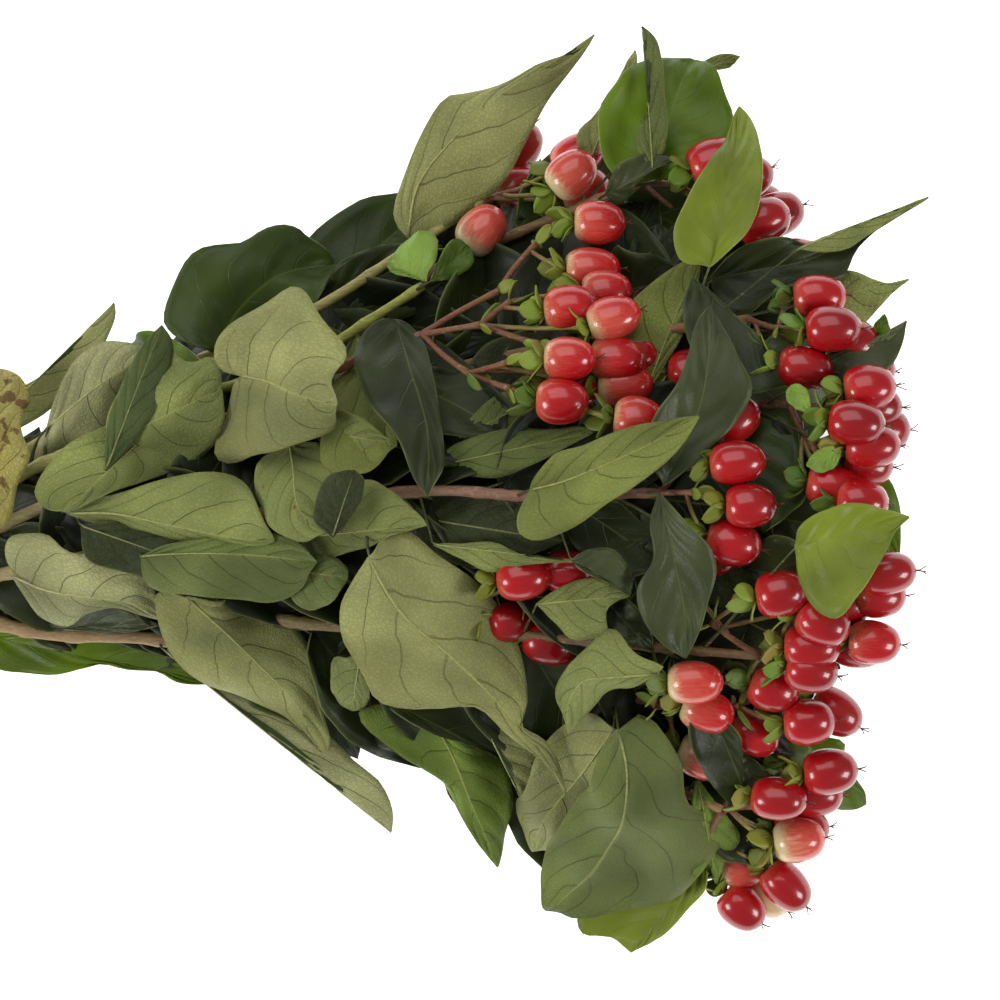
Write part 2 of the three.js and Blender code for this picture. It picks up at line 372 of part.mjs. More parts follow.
// A rod along a curve, tapering from one radius to the other.
function rod(curve, startR, endR, sides, steps) {
  const ring = Array.from({ length: sides }, (_, i) => {
    const turn = (i / sides) * 2 * Math.PI;
    return new THREE.Vector2(Math.cos(turn), Math.sin(turn));
  });
  const geometry = new THREE.ExtrudeGeometry(new THREE.Shape(ring), {
    steps, bevelEnabled: false, extrudePath: curve });
  const spine = curve.getSpacedPoints(steps);
  const at = geometry.attributes.position;
  const point = new THREE.Vector3();
  for (let i = 0; i < at.count; i += 1) {
    point.fromBufferAttribute(at, i);
    let step = 0;
    spine.forEach((p, k) => {
      if (p.distanceTo(point) < spine[step].distanceTo(point)) step = k;
    });
    const radius = startR + ((endR - startR) * step) / steps;
    point.sub(spine[step]).multiplyScalar(radius).add(spine[step]);
    at.setXYZ(i, point.x, point.y, point.z);
  }
  return solidOf(geometry);
}

// The shape of a leaf: where it starts, its way forward, to the side and up, its midrib and its two edges.
function leafShape({ base, tip, width, rib, left, right }) {
  const start = sunk(base);
  const end = sunk(tip);
  const whole = end.clone().sub(start);
  const flat = new THREE.Vector3(whole.x, whole.y, 0);
  const forward = whole.clone().normalize();
  const side = new THREE.Vector3(0, 0, 1).cross(forward).normalize();
  const up = forward.clone().cross(side);
  const raised = ([x, y]) => {
    const step = new THREE.Vector3(x - start.x, y - start.y, 0);
    return new THREE.Vector3(x, y, start.z + whole.z * clamp01(step.dot(flat) / flat.lengthSq()));
  };
  const plain = (way) => PLAIN_EDGE.map(([along, share]) => (
    start.clone().addScaledVector(whole, along).addScaledVector(side, (way * share * width) / 2)));
  const line = (inner, way) => new THREE.CatmullRomCurve3([
    start.clone().addScaledVector(side, way), ...inner, end.clone().addScaledVector(side, way)]);
  return {
    start, forward, side, up,
    rib: line(rib.map(raised), 0),
    left: line(left ? left.map(raised) : plain(1), TIP_HALF_WIDTH),
    right: line(right ? right.map(raised) : plain(-1), -TIP_HALF_WIDTH),
  };
}
// A point of the leaf's middle surface: u from edge to edge (-1 to 1), v from base to tip (0 to 1).
function leafPoint(spec, shape, u, v, grow = 0) {
  const rib = shape.rib.getPointAt(v);
  const outward = (u > 0 ? shape.left : shape.right).getPointAt(v).sub(rib);
  const half = outward.length();
  const cup = (spec.cup[u > 0 ? 0 : 1] * Math.PI) / 180;
  const out = Math.abs(u);
  const lift = spec.arch * Math.sin(Math.PI * v) + half * out ** 1.25 * Math.tan(cup)
    + spec.wave * out * Math.sin(2 * Math.PI * (1.6 * v + 0.13 * spec.width + (u > 0 ? 0.3 : 0)));
  return rib.addScaledVector(outward.normalize(), out * (half + grow)).addScaledVector(shape.up, lift);
}
// Where a leaf's stalk leaves its stem: a little behind the point nearest to the leaf's base.
function leafRoot(spec, shape) {
  const line = LINES[spec.stem];
  const nearest = nearestOnStem(spec.stem, shape.start);
  const reach = line[nearest].distanceTo(shape.start);
  return line[Math.max(2, nearest - Math.round(reach / 6))];
}
// A leaf: a thin closed blade with the same grid above and below, whose first row is its stalk's end in the
// stem.
function blade(spec, grow = 0) {
  const shape = leafShape(spec);
  const cols = spec.width >= 30 && !spec.lower ? 4 : 2;
  const rows = spec.width >= 24 && !spec.lower ? 6 : 5;
  const sheet = new THREE.PlaneGeometry(2, 1, cols, rows);
  const root = leafRoot(spec, shape);
  const way = shape.start.clone().sub(root).normalize();
  const top = way.clone().cross(shape.side).normalize();
  const wide = top.clone().cross(way);
  const knee = top.clone().add(shape.up).normalize();
  const count = sheet.attributes.position.count;
  const points = [];
  for (const face of [1, -1]) {
    for (let i = 0; i < count; i += 1) {
      const row = Math.floor(i / (cols + 1));
      const u = sheet.attributes.position.getX(i);
      let point;
      if (row === 0) {
        point = root.clone().addScaledVector(wide, u * (STALK.halfWidth + grow));
        point.addScaledVector(top, face * (STALK.halfDepth + grow));
      } else if (row === 1) {
        point = shape.start.clone().addScaledVector(shape.side, u * (STALK.halfWidth + grow));
        point.addScaledVector(knee, face * (STALK.halfDepth + grow));
      } else {
        point = leafPoint(spec, shape, u, (row - 1) / (rows - 1), grow);
        point.addScaledVector(shape.up, face * (BLADE_T / 2 + grow));
      }
      points.push(...point.toArray());
    }
  }
  const index = [];
  const tris = sheet.index.array;
  for (let i = 0; i < tris.length; i += 3) {
    index.push(tris[i], tris[i + 1], tris[i + 2]);
    index.push(tris[i] + count, tris[i + 2] + count, tris[i + 1] + count);
  }
  const loop = [];
  for (let c = 0; c < cols; c += 1) loop.push(c);
  for (let r = 0; r < rows; r += 1) loop.push(r * (cols + 1) + cols);
  for (let c = cols; c > 0; c -= 1) loop.push(rows * (cols + 1) + c);
  for (let r = rows; r > 0; r -= 1) loop.push(r * (cols + 1));
  loop.forEach((a, i) => {
    const b = loop[(i + 1) % loop.length];
    index.push(a, b, b + count, a, b + count, a + count);
  });
  const geometry = new THREE.BufferGeometry();
  geometry.setAttribute("position", new THREE.BufferAttribute(new Float32Array(points), 3));
  geometry.setIndex(index);
  return solidOf(geometry);
}

// A berry with its calyx in one skin: the back pole is the stalk's end, the first ring is the star of sepals,
// the next two are the berry's shoulder and its waist, and the far pole is its tip.
function berryBody([, at, axis], number, grow = 0) {
  const count = at[2] < 8 ? SEPAL.count : SEPAL.count - 1;
  const egg = new THREE.SphereGeometry(1, 2 * count, 4);
  const turn = new THREE.Quaternion().setFromUnitVectors(UP, new THREE.Vector3(...axis).normalize());
  const spots = egg.attributes.position;
  const half = BERRY.length / 2;
  const shoulder = BERRY.width * 0.455 + grow;
  const back = -half - 2.2;
  const rings = [[half + grow, 0], [half * 0.42, shoulder], [-half * 0.45, shoulder], [-half, 0], [back, 0]];
  for (let i = 0; i < spots.count; i += 1) {
    const ring = Math.floor(i / (2 * count + 1));
    const step = i % (2 * count + 1) % (2 * count);
    const angle = (step / (2 * count) + 0.07 * number) * 2 * Math.PI;
    let [along, radius] = rings[ring];
    if (ring === 3) {
      const pointed = step % 2 === 0;
      const bend = pointed ? 0.22 * Math.sin(number * 2.1 + step * 0.85) - 0.12 : 0.06;
      along = -half - 0.3 + bend * SEPAL.length;
      radius = pointed ? SEPAL.length : SEPAL.width * 0.6;
    }
    spots.setXYZ(i, radius * Math.cos(angle), along, -radius * Math.sin(angle));
  }
  const middle = sunk(at);
  return solidOf(egg.applyQuaternion(turn).translate(middle.x, middle.y, middle.z));
}
function twig(berry, rung, grow = 0) {
  const from = forkPoint(berry[0], rung);
  const axis = new THREE.Vector3(...berry[2]).normalize();
  const to = sunk(berry[1]).addScaledVector(axis, -BERRY.length / 2 - 0.6);
  return rod(bentCurve(from, to, axis.negate(), 0.12), TWIG_R + grow, TWIG_R + grow, 3, 1);
}

// ---- what each stem is made of; every entry has its solid and the same solid with clear space round it ----
const berryStem = (berry) => berry[0].slice(0, 2);
function piecesOf(id) {
  const main = (grow) => rod(CURVES[id], STEM_R + grow, STEM_TOP_R + grow, 5, 10);
  const wood = [grown("wood", `stem ${id}`, main)];
  for (const [name, [from, at]] of Object.entries(FORKS)) {
    if (name.slice(0, 2) !== id) continue;
    const start = forkStart(id, from);
    const lead = new THREE.Vector3(-1, 0, 0);
    const limb = (grow) => rod(bentCurve(start, sunk(at), lead, 0.1), 1.15 + grow, 1 + grow, 3, 1);
    wood.push(grown("wood", `fork ${name}`, limb));
  }
  const berries = [];
  const blades = [];
  const rungs = {};
  BERRIES.forEach((berry, i) => {
    if (berryStem(berry) !== id) return;
    const rung = (rungs[berry[0]] = (rungs[berry[0]] ?? -1) + 1);
    wood.push(grown("wood", `twig ${i}`, (grow) => twig(berry, rung, grow)));
    berries.push(grown("berry", `berry ${i}`, (grow) => berryBody(berry, i, grow)));
  });
  LEAVES.forEach((spec, i) => {
    if (spec.stem !== id) return;
    blades.push(grown("leaf", `leaf ${i}`, (grow) => blade(spec, grow)));
  });
  return [...wood, ...berries, ...blades];
}
function grown(kind, label, make) {
  return { kind, label, solid: make(0), clear: make(GAP) };
}

// ---- the band: one closed loop round the ten stems, flat underneath ----
function bandOutline(offset) {
  const corners = [[0, -1], [0, 1], [1, 1.5], [2, 1], [2, -1], [1, -1.5]];
  const points = corners.flatMap(([row, spot], i) => {
    const here = new THREE.Vector2(across(spot), rowHeight(row));
    const turns = [[-150, -90], [-90, -30], [-30, 30], [30, 90], [90, 150], [150, 210]][i];
    return [0, 0.5, 1].map((t) => {
      const a = ((turns[0] + (turns[1] - turns[0]) * t) * Math.PI) / 180;
      return new THREE.Vector2(here.x + offset * Math.cos(a), here.y + offset * Math.sin(a));
    });
  });
  return points;
}
function band() {
  const inner = STEM_R + BAND.gap;
  const shape = new THREE.Shape(bandOutline(inner + BAND.thickness));
  shape.holes.push(new THREE.Path(bandOutline(inner)));
  const geometry = new THREE.ExtrudeGeometry(shape, { depth: BAND.width, bevelEnabled: false });
  geometry.translate(0, 0, -BAND.width / 2);
  geometry.applyMatrix4(new THREE.Matrix4().makeBasis(new THREE.Vector3(0, 1, 0), new THREE.Vector3(0, 0, 1),
    new THREE.Vector3(1, 0, 0)));
  return solidOf(geometry);
}

// ---- putting the bunch together ----
// Twigs are kept whole first, then berries, then leaves from the top down; where one stem's leaf would touch
// another stem, the leaf gives way by the clear space.
const RANK = { wood: 0, berry: 1, leaf: 2 };
const boxOf = (solid) => {
  const { min, max } = solid.boundingBox();
  return new THREE.Box3(new THREE.Vector3(...min), new THREE.Vector3(...max));
};
function assemble() {
  const entries = Object.keys(STEMS).flatMap((id) => piecesOf(id).map((entry) => ({ id, ...entry })));
  for (const entry of entries) {
    entry.box = boxOf(entry.solid);
    entry.clearBox = boxOf(entry.clear);
    entry.height = entry.box.max.z;
  }
  entries.sort((a, b) => RANK[a.kind] - RANK[b.kind] || b.height - a.height);
  entries.forEach((entry, i) => {
    for (const other of entries.slice(0, i)) {
      if (other.id === entry.id || !other.clearBox.intersectsBox(entry.box)) continue;
      if (other.clear.intersect(entry.solid).volume() > 1e-6) entry.solid = entry.solid.subtract(other.clear);
    }
  });
  return entries;
}
const entries = assemble();

const bunch = new THREE.Group();
for (const id of Object.keys(STEMS)) {
  const solids = entries.filter((entry) => entry.id === id).map((entry) => entry.solid);
  const bodies = Manifold.union(solids).simplify(FINEST_FORM).decompose();
  const [whole] = bodies.sort((a, b) => b.volume() - a.volume());
  const material = new THREE.MeshStandardMaterial({ color: 0x7d8c5f, roughness: 0.6, metalness: 0 });
  const mesh = new THREE.Mesh(geometryOf(whole), material);
  mesh.name = `stem_${id}`;
  bunch.add(mesh);
}
const tieMaterial = new THREE.MeshStandardMaterial({ color: 0xc9a36a, roughness: 0.7, metalness: 0 });
const tie = new THREE.Mesh(geometryOf(band()), tieMaterial);
tie.name = "tie";
bunch.add(tie);
export default bunch;
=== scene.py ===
import math
import random

import bmesh
import bpy
from bpy.props import FloatProperty, FloatVectorProperty, IntProperty, PointerProperty
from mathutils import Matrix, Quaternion, Vector, noise
from mathutils.geometry import interpolate_bezier


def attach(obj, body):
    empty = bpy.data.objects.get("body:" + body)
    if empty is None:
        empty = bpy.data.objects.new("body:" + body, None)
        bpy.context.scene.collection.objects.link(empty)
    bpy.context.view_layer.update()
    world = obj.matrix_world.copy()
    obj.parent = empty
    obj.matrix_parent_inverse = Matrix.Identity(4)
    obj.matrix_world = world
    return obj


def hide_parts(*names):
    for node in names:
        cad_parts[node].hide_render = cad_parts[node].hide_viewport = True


bl_info = {
    "name": "Hypericum Bunch",
    "version": (1, 0, 0),
    "blender": (4, 5, 0),
    "location": "View3D > Sidebar > Hypericum",
    "description": "Leaves, berries, calyces, wood and rubber band of a lying bunch of red hypericum",
    "category": "Add Mesh",
}

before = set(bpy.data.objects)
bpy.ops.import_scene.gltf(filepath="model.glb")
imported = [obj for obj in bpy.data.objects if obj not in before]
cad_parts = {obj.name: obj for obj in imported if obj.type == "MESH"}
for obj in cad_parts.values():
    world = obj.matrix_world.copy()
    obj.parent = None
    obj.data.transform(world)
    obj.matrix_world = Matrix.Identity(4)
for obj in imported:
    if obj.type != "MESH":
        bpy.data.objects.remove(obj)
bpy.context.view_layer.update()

# Shapes are worked out in millimetres, as the frame's solids are, and scaled as they are put in a mesh.
MM = 0.001
BODY = "root"

# ---- driving dimensions of the bunch, the same as the solids' ----
CUT_END_X = -80
STEM_PITCH = 5.6
STEM_R = 2.4
STEM_TOP_R = 1.2
LOWEST_STEM_Z = 4.45
TWIG_R = 0.75
FORK_R = 0.9
BAND_GAP = 0.7
CROWN = {"neck": 22, "rise": 86, "rise_end": 280, "side": 0.28, "half_neck": 14, "spread": 104,
         "spread_end": 240, "shift": 15, "shift_end": 120}


def linear(hex_colour):
    """An sRGB hex colour as linear red, green, blue and alpha."""
    parts = [int(hex_colour[i:i + 2], 16) / 255 for i in (1, 3, 5)]
    return tuple(p / 12.92 if p <= 0.04045 else ((p + 0.055) / 1.055) ** 2.4 for p in parts) + (1.0,)


def blend_colour(a, b, share):
    """A linear colour between two others."""
    return tuple(x + (y - x) * share for x, y in zip(a, b))


def clamp01(value):
    """The value, held between 0 and 1."""
    return min(1.0, max(0.0, value))


def smooth(low, high, value):
    """0 below low, 1 above high, and a soft step between."""
    share = clamp01((value - low) / (high - low))
    return share * share * (3 - 2 * share)


# ---- the heap's upper surface, which leaf and berry depths are counted down from ----
def crown_height(x, y):
    """How high the heap of leaves reaches over a point of the table."""
    top = CROWN["neck"] + CROWN["rise"] * math.sin(math.pi / 2 * clamp01(x / CROWN["rise_end"]))
    half = CROWN["half_neck"] + CROWN["spread"] * clamp01(x / CROWN["spread_end"]) ** 1.35
    middle = CROWN["shift"] * clamp01(x / CROWN["shift_end"])
    out = min(1.0, abs(y - middle) / half)
    side = CROWN["side"] * top
    return side + (top - side) * math.cos(math.pi / 2 * out)


def sunk(point):
    """The place of (x, y, depth below the crown)."""
    x, y, depth = point
    return Vector((x, y, max(0.5, crown_height(x, y) - depth)))


def low(x, y, z):
    """A point given by its height, as the depth that sunk() reads."""
    return (x, y, crown_height(x, y) - z)


# ---- stems: row and place in the band, then points in mm up to the first fork ----
STEMS = {
    "01": {"row": 0, "place": 1, "path": [(40, 8, 5), (80, 26, 12), (120, 48, 20), (165, 70, 28),
        (210, 90, 38), (244, 104, 44)]},
    "02": {"row": 1, "place": 1.5, "path": [(40, 12, 12), (80, 34, 22), (120, 54, 32), (154, 69, 42),
        (179, 85, 40), (200, 99, 34)]},
    "03": {"row": 2, "place": 1, "path": [(40, 8, 19), (80, 27, 33), (120, 44, 40), (150, 54, 47),
        (170, 66, 51), (184, 75, 52)]},
    "04": {"row": 2, "place": 0, "path": [(40, 0, 19), (80, 15, 36), (120, 34, 45), (155, 50, 55),
        (184, 61, 66)]},
    "05": {"row": 1, "place": 0.5, "path": [(40, 4, 12), (80, 16, 26), (120, 30, 36), (160, 44, 46),
        (210, 56, 62), (250, 62, 74), (272, 65, 78)]},
    "06": {"row": 0, "place": 0, "path": [(40, 0, 5), (80, 6, 14), (120, 16, 24), (160, 28, 36),
        (210, 36, 54), (255, 40, 72), (283, 42, 84)]},
    "07": {"row": 2, "place": -1, "path": [(40, -8, 19), (80, -2, 34), (120, 8, 50), (160, 16, 66),
        (190, 18.5, 82), (213, 17, 88), (248, 18, 92)]},
    "08": {"row": 1, "place": -0.5, "path": [(40, -4, 12), (80, -7, 22), (120, -12, 34), (152, -18, 50),
        (200, -20, 64), (250, -24, 80), (275, -26, 86)]},
    "09": {"row": 0, "place": -1, "path": [(40, -8, 5), (80, -15, 10), (120, -22, 16), (160, -27, 28),
        (210, -34, 46), (240, -38, 60), (262, -40, 66)]},
    "10": {"row": 1, "place": -1.5, "path": [(40, -12, 12), (75, -21, 18), (113, -23.5, 26), (160, -38, 22),
        (215, -54, 34), (250, -62, 50), (266, -69, 56)]},
}

# ---- forks of the sprays: what each grows from (a stem, a fork or a place on the stem), and its end ----
FORKS = {
    "01a": ("01", (254, 103, 14)), "01b": ("01a", (266, 96, 13)),
    "02a": ("02", (213, 103, 14)),
    "03a": ("03", (196, 88, 13)),
    "04a": ("04", (205, 73, 5)), "04b": ("04a", (215, 86, 4)), "04c": ("04", (200, 63.5, 4)),
    "04d": ("04c", (208, 70, 4)), "04e": ("04c", (216, 58, 8)), "04f": ("04", (197, 50, 9)),
    "04g": ("04f", (208, 46, 10)), "04h": ("04f", (207, 53, 7)),
    "05a": ("05", (280, 62, 10)),
    "06a": ("06", (291, 41, 14)), "06b": ("06", (290, 29, 14)),
    "07a": ("07", (257, 18, 9)), "07b": ("07", (256, 26, 12)),
    "08a": ("08", (280, -24, 11)), "08b": ("08a", (292, -14, 13)), "08c": ("08", (262, -17, 14)),
    "08d": ((186, -19.5), (198, -14, 22)),
    "09a": ("09", (270, -40, 15)), "09b": ("09", (247, -40, 14)),
    "10a": ("10", (274, -68, 12)), "10b": ("10", (262, -80, 10)),
    "01d": ("01", low(262, 92, 28)), "06c": ("06", low(294, 38, 66)), "09c": ("09", low(272, -34, 52)),
    "10c": ("10", low(276, -60, 38)),
}

# ---- berries: fork, middle (x, y, depth), axis towards the tip; those of the solids first ----
BERRIES = [
    ("03a", (200, 90.5, 6), (0.67, 0.74, 0.1), 0.28), ("02a", (210.2, 115, 13), (0.55, 0.8, 0)),
    ("02a", (209, 103.5, 20), (0.9, 0.3, -0.3)), ("02a", (226.5, 111.5, 9), (0.8, 0.5, 0), 0.6),
    ("02a", (224.7, 106, 4), (0.65, 0.55, 0.1), 0.42),
    ("04b", (232, 91.8, 6), (1, 0, 0)), ("04b", (230, 79, 12), (1, 0, -0.1)),
    ("04d", (233.8, 72.5, 14), (1, 0, 0)), ("04d", (224, 68, 5), (1, 0.1, 0.1)),
    ("04c", (235.5, 65, 7), (0.92, 0.3, 0)), ("04h", (223.5, 54, 4), (1, 0, 0.1)),
    ("04e", (236.5, 54, 14), (1, -0.1, 0)),
    ("04g", (221.5, 42.5, 8), (1, -0.05, 0.1)), ("04g", (224.5, 46.5, 19), (1, 0.1, 0)),
    ("04h", (238.5, 47.5, 20), (1, 0, 0)), ("04g", (242, 37.5, 14), (1, -0.1, 0)),
    ("01a", (263.5, 109.3, 2), (0.9, 0.4, -0.1)), ("01b", (273, 104.5, 10), (0.9, 0.4, 0)),
    ("01b", (281.5, 94.5, 17), (0.9, 0.35, -0.1)), ("01b", (276.5, 92.5, 8), (0.95, 0.25, 0)),
    ("01b", (287.5, 81.5, 22), (1, -0.1, -0.1)),
    ("05a", (291, 71, 8), (1, 0.05, 0)), ("05a", (294.3, 62, 4), (1, 0, 0.1)),
    ("05a", (300.5, 58.5, 14), (1, -0.1, -0.1)), ("05a", (286.9, 51.5, 12), (1, -0.15, 0)),
    ("05a", (304.5, 51.5, 20), (1, -0.1, -0.2)),
    ("06a", (303.7, 46, 8), (1, 0.1, 0)), ("06a", (299.8, 36.5, 4), (1, -0.1, 0.1)),
    ("06a", (306, 41, 17), (1, 0, -0.1)), ("06b", (304.3, 30.5, 10), (1, 0, 0)),
    ("06b", (308, 35, 22), (1, 0, -0.2)), ("06b", (303.5, 25.5, 20), (1, -0.1, -0.1)),
    ("06b", (294.2, 19.5, 14), (1, -0.2, 0)), ("06b", (301.5, 15.5, 11), (1, -0.1, 0)),
    ("07b", (267.8, 37.6, 17), (0.9, 0.5, 0)), ("07b", (268.2, 26, 9), (1, 0.1, 0.1)),
    ("07a", (271.7, 14.5, 9), (1, 0, 0)), ("07a", (267.2, 4.5, 13), (1, -0.25, 0)),
    ("08d", (211, -5, 17), (1, 0.1, 0.1), 0.75),
    # the next two, deep in the bunch, are given the deepest red as painted shade for the shadow they lie in
    ("08d", (208, -17, 26), (1, 0.1, -0.2), 0.9), ("08d", (218.5, -23, 27), (0.9, -0.3, -0.1), 0.95),
    ("08c", (280, -9, 7), (1, 0.15, 0.1)), ("08a", (291.2, -16.8, 5), (0.9, -0.4, 0.1)),
    ("08b", (308.5, -3.5, 9), (1, 0.1, 0)), ("08b", (306.9, -9.6, 16), (1, 0, -0.1)),
    ("08a", (288.5, -23.3, 8), (1, 0, 0.1)), ("08a", (288.4, -29.9, 6), (1, -0.2, 0)),
    ("08b", (305.2, -22.2, 10), (1, -0.1, 0), 0.6), ("08a", (301.5, -23.2, 20), (1, -0.2, -0.1)),
    ("08a", (278.8, -35.2, 14), (0.9, -0.3, 0)),
    ("09b", (257.3, -33, 6), (1, 0, 0.1), 0.38), ("09b", (261, -41.2, 12), (0.9, -0.3, 0), 0.42),
    ("09a", (288.5, -44, 9), (1, 0.05, 0.1)), ("09a", (296.1, -41.7, 18), (0.8, -0.5, 0)),
    ("09a", (274, -47.8, 16), (0.8, -0.5, 0)), ("09b", (260.2, -54.3, 16), (0.9, -0.4, 0), 0.4),
    ("10a", (294.8, -58, 9), (1, 0.1, 0)), ("10a", (292, -65, 16), (1, 0, 0)),
    ("10a", (280.8, -65.5, 3), (1, -0.1, 0.2)), ("10a", (287, -77.6, 6), (1, 0.1, 0), 0.36),
    ("10b", (272.6, -85.6, 18), (1, 0, 0.1), 0.4), ("10b", (284.3, -91.2, 6), (0.7, -0.7, 0)),
    ("10b", (272.5, -97.5, 7), (0.75, -0.65, 0)),
    ("01d", low(277, 98, 24), (0.9, 0.3, -0.2)),
    ("06c", low(305, 27, 58), (0.9, -0.2, -0.4)),
    ("09c", low(288, -28, 50), (0.9, 0.2, -0.3)),
    ("10c", low(291, -56, 32), (0.9, 0.1, -0.3)),
    # mostly hidden ones, which the solids leave out
    ("02a", (228.5, 102, 22), (0.9, 0.3, 0), 0.58), ("04h", (241, 55, 22), (1, 0, 0)),
    ("04h", (257.5, 51, 26), (1, 0, 0)), ("08c", (298, -12, 18), (1, 0.1, 0)),
    ("10b", (279.5, -94, 18), (0.75, -0.65, 0), 0.12), ("08d", (223.5, -3.5, 24), (1, 0, 0), 0.85),
    ("08c", (262, 1, 24), (1, 0.2, 0)), ("10a", (288, -75, 15), (1, 0.1, 0)),
]

# ---- tones of the leaves: underside and upper side ----
LEAF_TONES = {
    "old": ("#b3a75c", "#77733a"),
    "wan": ("#a5a674", "#36431f"),
    "pale": ("#97995f", "#36431f"),
    "sage": ("#828a4c", "#2c391b"),
    "olive": ("#7b8340", "#35441f"),
    "dusky": ("#66703a", "#333f1c"),
    "fresh": ("#8f9c58", "#7d9a3c"),
    "dark": ("#5e673a", "#38471a"),
    "deep": ("#525d32", "#2a3214"),
    # 'shade' is darker than any living leaf: painted shade for leaves put where the bunch is dark inside
    "shade": ("#2c3019", "#1c220f"),
    "slate": ("#60684a", "#41482a"),
    "green": ("#758a35", "#465f16"),
    "bright": ("#8b9a45", "#56700c"),
    "lime": ("#97a650", "#788628"),
}
SEPAL_TONES = ("#74862b", "#677c28", "#818c32", "#5c742a", "#868f39")
# the inner leaves take the darkest tones: painted shade for the inside of the bunch
INNER_TONES = ("shade", "deep", "shade", "shade")
FORK_TONES = ("#70412f", "#7f5838")
TWIG_TONES = ("#754633", "#9a9a4c")
STYLE_TONES = ("#7a2e24", "#55281f")
CUT_WOOD, PITH = "#cfc795", "#8f9a55"
# the stalks' tone is darkened beyond their green as painted shade, for where they run under the leaves
STALK_SHADE_TONE, RIB_TONE = "#434824", "#b0b06a"
RUBBER = "#c9a36a"

# ---- bark of each stem at its cut end and below its fork ----
STEM_BARK = {
    "01": ("#8e8a58", "#8a6a48"), "02": ("#9a9560", "#a8a060"), "03": ("#9a9560", "#a4a850"),
    "04": ("#8e8a58", "#7a4a36"), "05": ("#8e8a58", "#8a6440"), "06": ("#8e8a58", "#7d5a40"),
    "07": ("#9a8a60", "#8a6450"), "08": ("#7c7242", "#6f5636"), "09": ("#8e8a58", "#7a6040"),
    "10": ("#9c8058", "#97784c"),
}

# ---- leaf detail, and the grain of the materials in metres ----
QUILTING = 0.36  # mm up or down between two side veins
EDGE_STEPS = 24  # steps of a leaf's edges and midrib
LARGE_LEAF = 18  # mm wide; the smaller and the hidden ones have a coarser grid
SMALL_GRID = 0.6
RUMPLE_SIZE = 17  # mm from one rise of a rumpled blade to the next
TONE_SIZE = 14  # mm from one lighter patch to the next
VEIN_PAIRS = 5
VEIN_SWEEP = 0.36  # how far a side vein runs up the leaf, as a share of its length
VEIN_SHIFT = 0.35  # the right half's veins against the left one's, as a share of their spacing
WANDER_SIZE = 0.011
NET_CELL = 0.0011
FINE_CELL = 0.0007  # twice as wide as real ones, so that they show
MOTTLE_SIZE = 0.016
SPECK_SIZE = 0.005
RUST_SIZE = 0.003
STREAK_SIZE = 0.0007
PORE_SIZE = 0.0011
GRAIN_SIZE = 0.0004
CLOUD_SIZE = 0.004


def leaf(stem, base, tip, width, face, tone, **bends):
    """A leaf: base and tip (x, y, depth), the side that looks up, its tone, and its bends in degrees and mm.

    One that shows has the points of its left and right edge, and its midrib's where that is bent, seen from
    above on the way from base to tip. The others are as wide as their width says. A lean paints the left
    half lighter than the right one: painted light and shade, as on a blade folded along its midrib.
    """
    cup = -8 if face == "under" else 12
    row = {"left": (), "right": (), "rib": (), "roll": 0, "cup": (cup, cup), "arch": 3, "wave": 1.0,
           "ragged": 0.1, "rumple": 4.5, "lean": 0.0, "age": 0.0, "lower": False}
    row.update(stem=stem, base=base, tip=tip, width=width, face=face, tone=tone, **bends)
    return row


